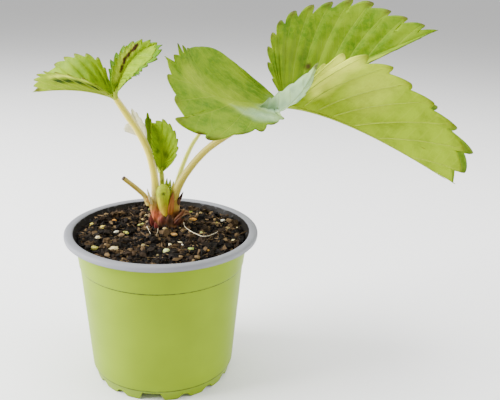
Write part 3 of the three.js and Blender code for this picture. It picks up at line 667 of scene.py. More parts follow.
# Single things that lie on the soil: [x, y], half-lengths, turn in degrees, tint.
SOIL_THINGS = [
    ((13.5, 35), (4.6, 1.1, 0.9), 55, "A9B04A"),
    ((28, 18.5), (3.2, 1.5, 1.2), 30, "B7A84B"),
    ((32.4, 22), (1.3, 1.0, 0.9), 0, "D8D2C0"),
    ((5.7, -24.6), (1.9, 1.8, 1.7), 0, "B9C07C"),
    ((17.5, -19), (1.7, 1.0, 0.8), 20, "A3B05E"),
    ((26, -20), (1.6, 0.9, 0.8), -35, "B98A45"),
    ((39.5, -4.8), (1.9, 1.2, 1.0), 70, "CDBF82"),
    ((12.4, -14.3), (0.8, 0.8, 0.7), 0, "E8E4D8"),
    ((1.4, 1.0), (1.6, 1.1, 0.9), 10, "C9B78E"),
    ((6.5, -1.5), (2.1, 1.2, 0.8), -20, "B48B52"),
    ((-41, 10), (2.4, 0.9, 0.8), 80, "AFA04C"),
    ((-33, 3), (1.5, 1.2, 1.0), 20, "B5A552"),
    ((-33, -11), (1.5, 1.2, 0.9), 0, "C4B78F"),
    ((-32, -25), (2.0, 1.7, 1.2), 15, "A7A04F"),
    ((-22, -23), (2.6, 1.9, 1.0), 40, "B8A77C"),
    ((-13, 12), (2.2, 1.1, 0.9), 20, "A6A851"),
    ((-20, 0), (1.8, 1.1, 0.9), -40, "A2A24F"),
    ((-7, -16), (2.4, 1.4, 0.6), 15, "A98C60"),
    ((-30, 17), (1.7, 1.1, 0.9), 60, "B6803C"),
    ((-6, 3), (1.5, 1.0, 0.8), 0, "C7B98F"),
    ((36, 12), (1.8, 1.1, 0.9), 20, "8E7A50"),
    ((21, 5), (1.6, 0.9, 0.8), -60, "9DA257"),
]


class STRAWBERRY_OT_soil(bpy.types.Operator):
    """Crumbles the potting soil's surface and strews crumbs, grit and bark on it"""
    bl_idname = "strawberry.soil"
    bl_label = "Soil"

    def execute(self, context):
        settings = context.scene.strawberry_soil
        peat_stuff = peat("damp peat, crumbled")
        bm = bmesh.new()

        def place(a, b):
            u, v = 2 * a - 1, 2 * b - 1
            x = SOIL_RADIUS * u * math.sqrt(1 - v * v / 2)
            y = SOIL_RADIUS * v * math.sqrt(1 - u * u / 2)
            edge = smooth(SOIL_RADIUS - 1.5, SOIL_RADIUS, math.hypot(x, y))
            return x, y, SOIL_LEVEL + crumbled(x, y) * (1 - 0.6 * edge)

        tint = bm.verts.layers.float_color.new("tint")
        for vert in bent_grid(bm, 200, 200, place)[0]:
            x, y, z = vert.co / MM
            # Lumps are painted drier and lighter and the hollows near-black: damp peat, and partly
            # painted shade.
            dry = smooth(-0.4, 2.6, z - SOIL_LEVEL - soil_height(x, y))
            dry *= 0.5 + 0.5 * noise.noise(Vector((x, y, 3)) / 3)
            vert[tint] = [lerp(wet, top, dry) for wet, top in zip(settings.damp, settings.dry)]
        radius = SOIL_RADIUS
        for next_radius, z in SOIL_RINGS:
            rim = [e for e in bm.edges if e.is_boundary]
            pulled = bmesh.ops.extrude_edge_only(bm, edges=rim)["geom"]
            for vert in (v for v in pulled if isinstance(v, bmesh.types.BMVert)):
                x, y, _ = vert.co
                vert.co = (x * next_radius / radius, y * next_radius / radius, z * MM)
            radius = next_radius
        rim = [e for e in bm.edges if e.is_boundary]
        bmesh.ops.edgeloop_fill(bm, edges=rim)
        bmesh.ops.recalc_face_normals(bm, faces=bm.faces)
        new_piece("soil_bed", bm, (peat_stuff,), "potting_soil", ("soil",))

        rng = random.Random(31)
        bm = painted_bmesh()
        for index in range(settings.crumbs):
            spot = self.spot(rng) if index % 7 else self.collar(rng)
            size = 0.26 + 1.5 * rng.random() ** 4
            half = (size * rng.uniform(0.9, 1.8), size, size * rng.uniform(0.6, 1.0))
            add_lump(bm, spot, rng.uniform(0.1, 0.7) * size, half, any_turn(rng), 1.1,
                     rng.choice(PEAT_TINTS))
        # Bark fibres lie among the crumbs.
        for _ in range(settings.crumbs // 6):
            spot = self.spot(rng)
            half = (rng.uniform(1.4, 4.2), rng.uniform(0.2, 0.45), rng.uniform(0.2, 0.4))
            turn = any_turn(rng) @ Matrix.Rotation(rng.uniform(-0.35, 0.35), 3, "Y")
            add_lump(bm, spot, 0.5, half, turn, 0.5, rng.choice(PEAT_TINTS[3:]))
        # Some peat sticks together in clumps.
        for _ in range(settings.crumbs // 18):
            spot = self.spot(rng)
            size = rng.uniform(1.2, 2.4)
            half = (size * rng.uniform(1.0, 1.5), size, size * rng.uniform(0.6, 0.9))
            add_lump(bm, spot, 0.1 * size, half, any_turn(rng), 1.1,
                     rng.choice(PEAT_TINTS[1:7]), 2)
        crumbs = new_piece("soil_crumbs", bm, (tinted_grains("peat crumbs and bark fibre"),),
                           "potting_soil")
        crumbs.data.shade_flat()

        bm = painted_bmesh()
        tints = [code for code, often in GRAIN_TINTS for _ in range(often)]
        for _ in range(settings.grit):
            spot = self.spot(rng)
            size = rng.uniform(0.4, 1.0) ** 1.6 * 1.25
            half = (size * rng.uniform(1.0, 2.0), size, size * rng.uniform(0.5, 0.9))
            add_lump(bm, spot, 0.35 * size, half, any_turn(rng), 0.45, rng.choice(tints), 2)
        for spot, half, turn, code in SOIL_THINGS:
            turned = Matrix.Rotation(math.radians(turn), 3, "Z")
            add_lump(bm, spot, 0.5 * half[2], half, turned, 0.35, code, 3)
        new_piece("soil_grit", bm, (tinted_grains("perlite, bark and seed husks"),), "potting_soil")
        return {"FINISHED"}

    @staticmethod
    def spot(rng):
        """A random place on the soil, outside the crown."""
        while True:
            angle = rng.uniform(0, 2 * math.pi)
            reach = (SOIL_RADIUS - 1.2) * math.sqrt(rng.random())
            x, y = reach * math.cos(angle), reach * math.sin(angle)
            if math.hypot(x - CROWN_X, y - CROWN_Y + 1) > 8:
                return x, y

    @staticmethod
    def collar(rng):
        """A random place close round the crown."""
        angle, reach = rng.uniform(0, 2 * math.pi), rng.uniform(5.6, 10)
        return CROWN_X + reach * math.cos(angle), CROWN_Y - 1 + reach * math.sin(angle)


# ---------------------------------------------------------------- stalks

CURVE_STEPS = 120


class Stalk:
    """A round stalk along the centripetal curve through its points, as in the solid."""

    def __init__(self, points, radii):
        self.points = [Vector(p) for p in points]
        self.radii = radii
        self.samples = [self.curve(i / CURVE_STEPS) for i in range(CURVE_STEPS + 1)]
        self.reach = [0.0]
        for a, b in zip(self.samples, self.samples[1:]):
            self.reach.append(self.reach[-1] + (b - a).length)
        self.length = self.reach[-1]

    def curve(self, t):
        points = self.points
        spans = len(points) - 1
        where = t * spans
        i = min(int(where), spans - 1)
        weight = where - i
        p1, p2 = points[i], points[i + 1]
        p0 = points[i - 1] if i > 0 else p1 * 2 - p2
        p3 = points[i + 2] if i + 2 <= spans else p2 * 2 - p1
        d0, d1, d2 = [math.sqrt((b - a).length) for a, b in ((p0, p1), (p1, p2), (p2, p3))]
        m1 = ((p1 - p0) / d0 - (p2 - p0) / (d0 + d1) + (p2 - p1) / d1) * d1
        m2 = ((p2 - p1) / d1 - (p3 - p1) / (d1 + d2) + (p3 - p2) / d2) * d1
        w2, w3 = weight ** 2, weight ** 3
        return (p1 * (2 * w3 - 3 * w2 + 1) + m1 * (w3 - 2 * w2 + weight)
                + p2 * (3 * w2 - 2 * w3) + m2 * (w3 - w2))

    def at(self, share):
        """Point at a share of the length, with the direction there."""
        goal = clamp(share) * self.length
        i = next((k for k in range(1, CURVE_STEPS) if self.reach[k] >= goal), CURVE_STEPS)
        span = self.reach[i] - self.reach[i - 1]
        part = (goal - self.reach[i - 1]) / span if span else 0
        step = self.samples[i] - self.samples[i - 1]
        return self.samples[i - 1] + step * part, step.normalized()

    def radius(self, share):
        along = clamp(share) * (len(self.radii) - 1)
        i = min(int(along), len(self.radii) - 2)
        return lerp(self.radii[i], self.radii[i + 1], along - i)

    def frame(self, share):
        """Point, the direction towards the front, and the direction across."""
        point, tangent = self.at(share)
        front = Vector((0, -1, 0))
        front = (front - tangent * front.dot(tangent)).normalized()
        return point, front, tangent.cross(front)


STALKS = {
    "petiole_a": Stalk([(-3, 9.6, 91), (-4.8, 9.3, 101), (-4.9, 9.2, 108), (-5.9, 9, 116),
                        (-8.5, 8.4, 126.4), (-13.6, 7.5, 137.5), (-18.6, 6.6, 145.4),
                        (-24.6, 5.3, 155.1)], [2.4, 2.3, 2.1, 2, 2, 2, 1.6]),
    "petiole_b": Stalk([(4.4, 8.8, 88), (5.9, 8.4, 100.4), (9.9, 8, 110.2), (13.9, 8, 116.4),
                        (18, 8, 121.9), (25.2, 7.5, 129.5), (43.7, 6.5, 142.6),
                        (62.9, 4.9, 154.7)], [2.7, 2.4, 2, 1.9, 1.8, 1.8, 1.7]),
    "petiole_c": Stalk([(4, 13.8, 95.5), (5.8, 14.4, 103.5), (9.5, 18.5, 115.7),
                        (14.1, 23.2, 126.2), (17.2, 25, 131), (25.2, 27.2, 144)],
                       [1.5, 1.35, 1.25, 1.1, 1]),
    "petiole_d": Stalk([(-1.4, 13.6, 94.5), (-1.5, 13, 104), (-1.7, 12.4, 112.8)], [1.6, 1.4]),
    "cut_petiole": Stalk([(-7.8, 7, 95.4), (-10.3, 6.4, 100.8), (-13.4, 5, 104.6), (-20.9, 0, 113)],
                         [1.7, 1.35, 1.3, 1.2]),
}


DRIED_TIP = 1.5          # how far the cut stub has dried, in mm


def add_stalk(bm, stalk, sides=20, steps=60, groove=0.1, tip=0.5, material=0):
    """A stalk's skin with a shallow groove behind, rounded over its last tip mm."""
    def radius(a, angle):
        r = stalk.radius(a)
        end = stalk.length * (1 - a)
        if end < tip:
            r *= math.sqrt(clamp(1 - (1 - end / tip) ** 2))
        behind = math.exp(-((angle - math.pi) / 0.6) ** 2)
        place = Vector((stalk.length * a / 4, math.cos(angle), math.sin(angle)))
        return r * (1 - groove * behind) * (1 + 0.02 * noise.noise(place))

    return tube(bm, stalk.frame, radius, sides, steps, material, lambda a, b: (b, a))


class STRAWBERRY_OT_stalks(bpy.types.Operator):
    """Grows the grooved leaf stalks and the cut stub"""
    bl_idname = "strawberry.stalks"
    bl_label = "Stalks"

    def execute(self, context):
        settings = context.scene.strawberry_stalk
        skins = {
            "petiole_a": stalk_skin("living stalk, cream with a pink flank", linear("CDBE2C"),
                                    linear("F0DEB4"), "CDBE93", 0.25),
            "petiole_b": stalk_skin("living stalk, olive", settings.olive, linear("9C8F3C"),
                                    "A57A36", 0.2),
            "petiole_c": stalk_skin("living stalk, pale green", linear("CDD04C"),
                                    linear("E2E094"), "BFC24E", 0.2),
            "petiole_d": stalk_skin("living stalk, young green", linear("9FAB2C"), settings.pale,
                                    "A3AC38", 0.3),
            "cut_petiole": stalk_skin("cut stalk, drying olive-brown", linear("A38C2C"),
                                      linear("B8A04A"), "C2A84C", 0.6),
        }
        slots = {"petiole_b": "old_stem", "cut_petiole": "old_stem"}
        for name, stalk in STALKS.items():
            bm = bmesh.new()
            bm.loops.layers.uv.new("Stalk")
            add_stalk(bm, stalk, tip=0.15 if name == "cut_petiole" else 0.6)
            materials = [skins[name]]
            if name == "cut_petiole":
                materials.append(plain_fibre("cut stalk end, dried dark", "4A3826", "2C2118"))
                for face in bm.faces:
                    middle = face.calc_center_median() / MM
                    face.material_index = int((middle - stalk.points[-1]).length < DRIED_TIP)
            new_piece(name + "_skin", bm, materials, slots.get(name, "young_stem"), (name,))
        return {"FINISHED"}


# ---------------------------------------------------------------- crown

# [radius, height] corners of the rootstock, and the leaf bases round it.
CROWN_PROFILE = [(0, 66), (4.6, 66), (5, 66.5), (5.3, 78), (5.9, 82), (6.7, 86), (6.4, 91),
                 (5, 95), (3, 97.5), (0, 98)]
SHEATHS = [
    Stalk([(-2.6, 10.2, 85.6), (-3.9, 9.5, 93), (-4.8, 9.3, 100.5)], [3.6, 3.7, 2.8]),
    Stalk([(2.4, 9.6, 85.6), (4.7, 8.7, 91.5), (5.8, 8.4, 99.5)], [3.8, 3.8, 3.1]),
    Stalk([(-3.2, 7.6, 84.5), (-4.8, 7.2, 92), (-7.4, 6.8, 97.2), (-9.6, 6.5, 100.2)],
          [3.0, 2.6, 2.0, 1.5]),
    Stalk([(-0.9, 6.3, 83), (-0.6, 6.1, 88), (0.3, 6.6, 91.8)], [2.8, 2.9, 1.5]),
    Stalk([(2.2, 6.5, 83), (2.4, 6.4, 88), (2.6, 6.8, 91)], [2.8, 2.8, 1.5]),
    Stalk([(4.2, 6.8, 83), (4.7, 6.8, 87), (5.2, 7.2, 90)], [2.8, 2.7, 1.6]),
]

# Painted places of the crown: centre, reach in mm and tint.
CROWN_TINTS = [
    ((1.0, 3.0, 94.5), 2.4, "B0A02A"),
    ((0.6, 2.6, 91.5), 2.0, "B8983A"),
    ((0, 11, 70), 14, "2A1812"),
    ((0, 4, 83), 3.4, "1E1210"),
    ((-4.4, 4.4, 90.6), 3.0, "A85034"),
    ((-3.4, 4.2, 94), 2.4, "B06A3C"),
    ((-6.4, 5.2, 96.2), 3.0, "A5803A"),
    ((-1.8, 2.8, 89.6), 2.2, "6A1614"),
    ((-0.2, 2.9, 87.6), 2.6, "3A080C"),
    ((1.4, 3.4, 90.0), 2.4, "260508"),
    ((4.4, 3.8, 87.6), 3.4, "1A070A"),
    ((6.8, 5.6, 90.6), 2.8, "5C3418"),
    ((6.6, 6.2, 95.6), 3.4, "8C7420"),
    ((-4.4, 6.4, 100), 3.0, "C9BC6E"),
    ((0, 14, 96), 6, "75762A"),
]

# The young bud: its middle line and its outline, as [share of the line, half-width in mm].
BUD_LINE = Stalk([(1.2, 13, 84), (0.9, 8.8, 92), (0, 6.5, 99.2), (0.1, 6.9, 108)], [1, 1])
BUD_OUTLINE = [(0.0, 3.0), (0.18, 3.8), (0.32, 3.7), (0.6, 3.6), (0.8, 3.9), (0.91, 3.3),
               (0.97, 2.1), (1.0, 0.0)]
BUD_TINTS = [((0.5, 3.2, 103.4), 0.8, "2E3608"), ((1.4, 3.8, 92), 3.8, "C0A22C"),
             ((-2.6, 4, 98), 2.6, "B4AC1E"), ((0, 6, 106.5), 1.8, "849612")]

# Young scales and leaf tips round the bud: foot, tip, half-width in mm, and tint.
SCALES = [
    ((1.0, 9.4, 102), (1.8, 9.2, 111.0), 1.1, "667F0C"),
    ((2.4, 9.4, 102), (3.7, 9.2, 110.2), 1.2, "73890F"),
    ((-0.4, 9.6, 102), (-0.9, 9.8, 109.6), 1.0, "7C8B20"),
    ((3.2, 8.8, 101), (3.4, 8.6, 107.6), 1.2, "5F7A0A"),
    ((4.5, 8.4, 98), (5.3, 8.8, 109.4), 1.35, "A8A22C"),
    ((-6.0, 6.0, 95.5), (-8.8, 5.8, 105.6), 0.85, "B7A872"),
    ((8.0, 7.8, 97.5), (10.9, 7.8, 103.8), 0.9, "22120F"),
    ((7.4, 7.2, 95.5), (9.5, 7.2, 100.6), 1.0, "4C3420"),
    ((3.6, 5.6, 90.0), (5.4, 6.2, 104.0), 1.8, "8A5420"),
    ((5.8, 5.4, 86.0), (12.4, 4.6, 94.6), 1.3, "553018"),
    ((6.6, 4.8, 85.0), (10.6, 3.0, 91.0), 1.4, "35180F"),
    ((7.6, 6.4, 84.5), (12.2, 4.4, 89.6), 1.2, "553520"),
    ((-5.4, 5.6, 83.0), (-7.2, 4.8, 91.4), 1.2, "5C241C"),
    ((-6.4, 7.2, 82.5), (-8.3, 6.2, 88.8), 1.1, "2E1412"),
    ((-3.0, 3.4, 82.0), (-4.2, 2.8, 87.6), 1.2, "5A1E1A"),
]


def painted(place, tints, base):
    """The tint at a place in mm, blended from painted spots."""
    total, mixed = 1.0, Vector(linear(base)[:3])
    for centre, reach, code in tints:
        weight = 16 * math.exp(-((place - Vector(centre)).length / reach) ** 2 * 2)
        mixed += Vector(linear(code)[:3]) * weight
        total += weight
    return (*(mixed / total), 1.0)


def add_scale(bm, foot, tip, half, code):
    """A pointed young leaf or bud scale, hollow towards its tip."""
    foot, tip = Vector(foot), Vector(tip)
    tint = bm.verts.layers.float_color["tint"]
    axis = tip - foot

    def path(a):
        point = foot + axis * a + Vector((0, -0.9, 0)) * math.sin(math.pi * a)
        side = axis.cross(Vector((0, -1, 0))).normalized()
        return point, side.cross(axis).normalized(), side

    def radius(a, angle):
        shape = math.sin(math.pi * min(1, 0.28 + 0.72 * a)) ** 0.8
        return half * shape * (0.34 + 0.66 * abs(math.sin(angle)))

    for face in tube(bm, path, radius, sides=12, steps=14):
        for vert in face.verts:
            along = clamp((vert.co / MM - foot).dot(axis) / axis.length_squared)
            dried = 0.75 * smooth(0.82, 1.0, along)
            vert[tint] = Vector(linear(code)).lerp(Vector(linear("4F4420")), dried)


class STRAWBERRY_OT_crown(bpy.types.Operator):
    """Fuses the crown with its leaf bases, and packs bud and scales into them"""
    bl_idname = "strawberry.crown"
    bl_label = "Crown"

    def execute(self, context):
        tissue = crown_tissue("living crown, woody below and fleshy above")
        bm = spun(CROWN_PROFILE, 40)
        bmesh.ops.translate(bm, verts=bm.verts, vec=(CROWN_X * MM, CROWN_Y * MM, 0))
        for sheath in SHEATHS:
            add_stalk(bm, sheath, sides=24, steps=30, groove=0.0, tip=1.2)
        bm = with_modifier(bm, "REMESH", mode="VOXEL", voxel_size=0.4 * MM, use_smooth_shade=True)
        bmesh.ops.smooth_vert(bm, verts=bm.verts, factor=0.5, use_axis_x=True, use_axis_y=True,
                              use_axis_z=True)
        tint = bm.verts.layers.float_color.new("tint")
        bm.normal_update()
        for vert in bm.verts:
            place = vert.co / MM
            stretched = Vector((place.x, place.y, place.z * 0.35))
            vert.co += vert.normal * (0.35 * noise.fractal(stretched / 1.6, 0.8, 2.0, 3)) * MM
            vert[tint] = painted(place, CROWN_TINTS, "A5763F")
        new_piece("crown_skin", bm, (tissue,), "crown_tissue", ("crown",))

        bm = bmesh.new()
        tint = bm.verts.layers.float_color.new("tint")

        def radius(a, angle):
            for (low, before), (high, after) in zip(BUD_OUTLINE, BUD_OUTLINE[1:]):
                if low <= a <= high:
                    width = lerp(before, after, smooth(low, high, a))
            front = lerp(1.45, 0.9, smooth(0.15, 0.7, a))
            ripple = 1 + 0.02 * math.cos(5 * angle + 3 * a)
            return width * ripple * lerp(front, 1, abs(math.sin(angle)))

        tube(bm, BUD_LINE.frame, radius, sides=40, steps=48)
        for vert in bm.verts:
            spots = 0.5 + 0.5 * noise.noise(vert.co / MM / 0.9)
            shade = painted(vert.co / MM, BUD_TINTS, "8E9A08")
            vert[tint] = (*(Vector(shade[:3]) * (0.8 + 0.4 * spots)), 1.0)
        new_piece("crown_bud_skin", bm, (tissue,), "young_stem", ("crown_bud",))

        bm = bmesh.new()
        bm.verts.layers.float_color.new("tint")
        bm.loops.layers.uv.new("Stalk")
        for scale in SCALES:
            add_scale(bm, *scale)
        new_piece("bud_scales", bm, (tissue,), "young_stem")
        return {"FINISHED"}


# ---------------------------------------------------------------- leaves

MARGIN_STEPS = 200
MOST_TEETH = 40


class Leaflet:
    """A leaflet as in the solid: a bent midrib, two folded halves and toothed margins.

    The first of each pair of halves is on the left, looking from base to tip at the
    upper side. Teeth are their count, the share of the margin where they start, their
    depth and their roundness, for both halves or one after the other. Marks are painted
    spots: kind, centre or line, reach in mm and strength.
    """

    def __init__(self, rib, face, fold, curl, edge, teeth, pleat=0.5, groove=0.3, tips=0.6,
                 marks=(), ragged=0.2, seed=1):
        self.rib = [Vector(p) for p in rib]
        self.face = [Vector(p).normalized() for p in face]
        self.fold, self.curl = fold, curl
        self.teeth = teeth if isinstance(teeth[0], tuple) else (teeth, teeth)
        self.pleat, self.groove, self.tips, self.marks = pleat, groove, tips, marks
        self.edge = [[Vector(p) for p in ((0, 0), *points, (1, 0))] for points in edge]
        rng = random.Random(seed)
        self.size_of_tooth = [[1 + rng.uniform(-ragged, ragged) for _ in range(MOST_TEETH)]
                              for _ in (0, 1)]
        steps = [self.on_rib(v) for v in self.even_steps()]
        self.length = sum((b - a).length for a, b in zip(steps, steps[1:]))
        self.walks = [self.walk(half) for half in (0, 1)]
        self.rows = {}

    @staticmethod
    def even_steps():
        return [i / MARGIN_STEPS for i in range(MARGIN_STEPS + 1)]

    def on_rib(self, x):
        """A point of the midrib's curve, carried on straight past its ends."""
        inside = clamp(x)
        a, b, c = self.rib
        point = a * (1 - inside) ** 2 + b * (2 * inside * (1 - inside)) + c * inside ** 2
        speed = (b - a) * 2 if inside < 0.5 else (c - b) * 2
        return point + self.along(inside) * ((x - inside) * speed.length)

    def along(self, x):
        a, b, c = self.rib
        return ((b - a) * (1 - x) + (c - b) * x).normalized()

    def margin(self, half, v):
        """The spline through the margin's points."""
        points = self.edge[half]
        last = len(points) - 1
        where = last * clamp(v)
        i = min(int(where), last)
        w = where - i
        p1, p2 = points[i], points[min(i + 1, last)]
        p0 = points[max(i - 1, 0)]
        p3 = points[min(i + 2, last)]
        v0, v1 = (p2 - p0) * 0.5, (p3 - p1) * 0.5
        return ((p1 * 2 - p2 * 2 + v0 + v1) * w ** 3
                + (p2 * 3 - p1 * 3 - v0 * 2 - v1) * w ** 2 + v0 * w + p1)

    def walk(self, half):
        """Shares of the margin's length at even steps of v."""
        corners = [self.margin(half, v) for v in self.even_steps()]
        spots = [Vector((corner.x * self.length, corner.y)) for corner in corners]
        sums = [0.0]
        for a, b in zip(spots, spots[1:]):
            sums.append(sums[-1] + (b - a).length)
        return [reach / sums[-1] for reach in sums]

    def phase_at(self, half, v):
        """How many teeth lie between v and the first tooth."""
        count, start, *_ = self.teeth[half]
        where = clamp(v) * MARGIN_STEPS
        i = min(int(where), MARGIN_STEPS - 1)
        walked = lerp(self.walks[half][i], self.walks[half][i + 1], where - i)
        first = self.walks[half][int(start * MARGIN_STEPS)]
        return (walked - first) / (1 - first) * (count + 0.5)

    def v_at(self, half, phase):
        """The v of a phase, to the nearest step."""
        return min(self.even_steps(), key=lambda v: abs(self.phase_at(half, v) - phase))

    def row(self, half, v):
        """What is the same along one side vein."""
        key = (half, round(v, 6))
        if key not in self.rows:
            before, at, after = (self.margin(half, v + step) for step in (-0.004, 0, 0.004))
            along = Vector(((after.x - before.x) * self.length, after.y - before.y)).normalized()
            _, _, depth, *roundness = self.teeth[half]
            phase = self.phase_at(half, v)
            share = phase - math.floor(phase)
            rise = share / VEIN_SHARE if share < VEIN_SHARE else (1 - share) / (1 - VEIN_SHARE)
            size = self.size_of_tooth[half][int(clamp(phase, 0, MOST_TEETH - 2))]
            tooth = depth * size * clamp(phase) * (0.55 - (1 - rise) ** (roundness or [1.4])[0])
            # Side veins leave the midrib at 62 degrees at the base and 28 at the tip. Their
            # roots stay on the midrib through a soft limit.
            angle = math.radians(lerp(62, 28, v))
            soft = self.length * 0.04
            reach = clamp((at.x * self.length - at.y / math.tan(angle)) / soft, -30, 30)
            root = min(soft * math.log1p(math.exp(reach)), self.length * 0.96) * clamp(v * 8)
            self.rows[key] = at, along, phase, share, tooth, root
        return self.rows[key]

    def point(self, half, v, t):
        """Place and upward normal, in mm, of the blade on side vein v, share t out."""
        side = -1 if half == 0 else 1
        at, along, phase, share, tooth, root = self.row(half, v)
        push = tooth * t ** 3
        out = lerp(root, at.x * self.length, t)
        x = (out + push * (0.66 * along.x - 0.75 * along.y)) / self.length
        y = max(at.y * t + push * (0.66 * along.y + 0.75 * along.x), 0)
        inside = clamp(x)
        tangent = self.along(inside)
        up = self.face[0].lerp(self.face[1], inside)
        up = (up - tangent * up.dot(tangent)).normalized()
        across = tangent.cross(up) * side
        base = math.radians(lerp(*self.fold[half], inside))
        curl = math.radians(self.curl[half])
        lean, turn = base + curl * t / 2, base + curl * t
        place = self.on_rib(x) + across * (y * math.cos(lean)) + up * (y * math.sin(lean))
        swell = math.sin(math.pi * min(t * 1.1, 1))
        relief = self.pleat * math.cos(2 * math.pi * phase) * swell * clamp(y / 6)
        off = abs(share - VEIN_SHARE)
        relief -= (self.groove * math.exp(-(off / 0.07) ** 2) * smooth(0, 0.15, t) * (1 - t)
                   * clamp(y / 4))
        relief -= self.groove * 1.3 * math.exp(-(y / 0.8) ** 2) * smooth(0, 0.1, v)
        normal = up * math.cos(turn) - across * math.sin(turn)
        place += normal * (relief + 0.3 * noise.noise(place / 5) * clamp(y / 5))
        return place, normal


def line_gap(place, points):
    """Distance in mm from a place to a point, or to the line through several points."""
    if not isinstance(points[0], tuple):
        return (place - Vector(points)).length
    near = []
    for start, end in zip(points, points[1:]):
        start, end = Vector(start), Vector(end)
        share = clamp((place - start).dot(end - start) / (end - start).length_squared)
        near.append((place - start.lerp(end, share)).length)
    return min(near)


def leaf_bmesh(leaflet, along, across):
    """A leaflet as one bare sheet, facing up, with its map and painted marks."""
    bm = bmesh.new()
    bm.loops.layers.uv.new("Blade")

    def parts(a, b):
        return (0 if b < 0.5 else 1), a, abs(2 * b - 1)

    def place(a, b):
        half, v, t = parts(a, b)
        return leaflet.point(0 if a > 1 - 1e-6 else half, v, t)[0]

    def uv_at(a, b):
        half, v, t = parts(a, b)
        return leaflet.row(half, v)[2] / PHASE_SCALE, t

    bent_grid(bm, along, 2 * across, place, uv_at)
    layers = {key: bm.verts.layers.float.new(key) for key in MARKS}
    uv = bm.loops.layers.uv.active
    for face in bm.faces:
        for loop in face.loops:
            phase, t = loop[uv].uv[0] * PHASE_SCALE, loop[uv].uv[1]
            off = (phase - math.floor(phase) - VEIN_SHARE) / 0.2
            tip = smooth(0.9, 1.0, t) * math.exp(-off * off) * (phase > 0)
            loop.vert[layers["burn"]] = max(loop.vert[layers["burn"]], tip * leaflet.tips)
    for vert in bm.verts:
        for kind, centre, reach, strength in leaflet.marks:
            gap = line_gap(vert.co / MM, centre) / reach
            ragged = gap * (1 + 0.35 * noise.noise(vert.co / MM / max(reach * 0.4, 0.8)))
            weight = strength * (1 - smooth(0.45 if kind == "burn" else 0.1, 1.0, ragged))
            vert[layers[kind]] = max(vert[layers[kind]], weight)
    bmesh.ops.remove_doubles(bm, verts=bm.verts, dist=1e-6)
    spot, upward = leaflet.point(1, 0.5, 0.5)
    middle = min(bm.faces, key=lambda face: (face.calc_center_median() / MM - spot).length)
    bm.normal_update()
    if middle.normal.dot(upward) < 0:
        bmesh.ops.reverse_faces(bm, faces=bm.faces)
    return bm


def add_veins(bm, leaflet, blade, thick):
    """Raised midrib and side veins under the blade; thick is the midrib's radius at its base."""
    def under(point, normal, ahead, radius):
        """A point just below the blade, with the two directions across the vein."""
        normal = (normal - ahead * normal.dot(ahead)).normalized()
        return point - normal * (blade / 2 + radius * 0.25), normal, ahead.cross(normal)

    def rib_radius(a, _angle=0):
        return lerp(thick, thick * 0.3, a)

    def vein_radius(a, _angle=0):
        return thick * lerp(0.5, 0.16, a)

    def rib_path(a):
        point, normal = leaflet.on_rib(a * 0.99), leaflet.face[0].lerp(leaflet.face[1], a)
        if a <= 0:
            point, normal = leaflet.point(0, 1e-4, 0)
        point, normal, side = under(point, normal, leaflet.along(clamp(a)), rib_radius(a))
        return point - normal * 0.3, normal, side

    def on_midrib(_a, _b):
        return 0.6, 0.0

    tube(bm, rib_path, rib_radius, sides=10, steps=40, material=2, uv_at=on_midrib)
    for half in (0, 1):
        for tooth in range(int(leaflet.phase_at(half, 0)), leaflet.teeth[half][0] + 1):
            v = leaflet.v_at(half, tooth + VEIN_SHARE)
            # Too near the base or the tip there is no side vein.
            if not 0.12 < v < 0.97:
                continue

            def path(a, half=half, v=v):
                t = lerp(0.02, 0.93, a)
                point, normal = leaflet.point(half, v, t)
                ahead = (leaflet.point(half, v, t + 0.02)[0] - point).normalized()
                return under(point, normal, ahead, vein_radius(a))

            tube(bm, path, vein_radius, sides=6, steps=18, material=2, uv_at=on_midrib)


def add_leaflet_stalk(bm, leaflet, stalk, thick):
    """The short swollen stalk that joins a leaflet's midrib to the leaf's stalk."""
    foot, _ = stalk.at(0.985)
    line = Stalk([foot, *[leaflet.on_rib(x) for x in (0.004, 0.06, 0.13)]],
                 [thick, thick * 0.95, thick * 0.7, thick * 0.4])
    add_stalk(bm, line, sides=14, steps=24, groove=0.0, tip=0.8, material=2)


def build_leaflet(name, spec, materials, slot, blade, along, across, rib_radius, node=None,
                  stalk=None):
    """One finished leaflet: solid blade, raised veins below, and its short stalk, in mm."""
    leaflet = Leaflet(**spec)
    bm = leaf_bmesh(leaflet, along, across)
    bm = with_modifier(bm, "SOLIDIFY", materials, thickness=blade * MM, offset=0, use_rim=True,
                       material_offset=1, material_offset_rim=0, use_quality_normals=True)
    add_veins(bm, leaflet, blade, rib_radius)
    if stalk:
        add_leaflet_stalk(bm, leaflet, STALKS[stalk], STALKS[stalk].radius(1) * 0.85)
    return new_piece(name, bm, materials, slot, (node,) if node else ())


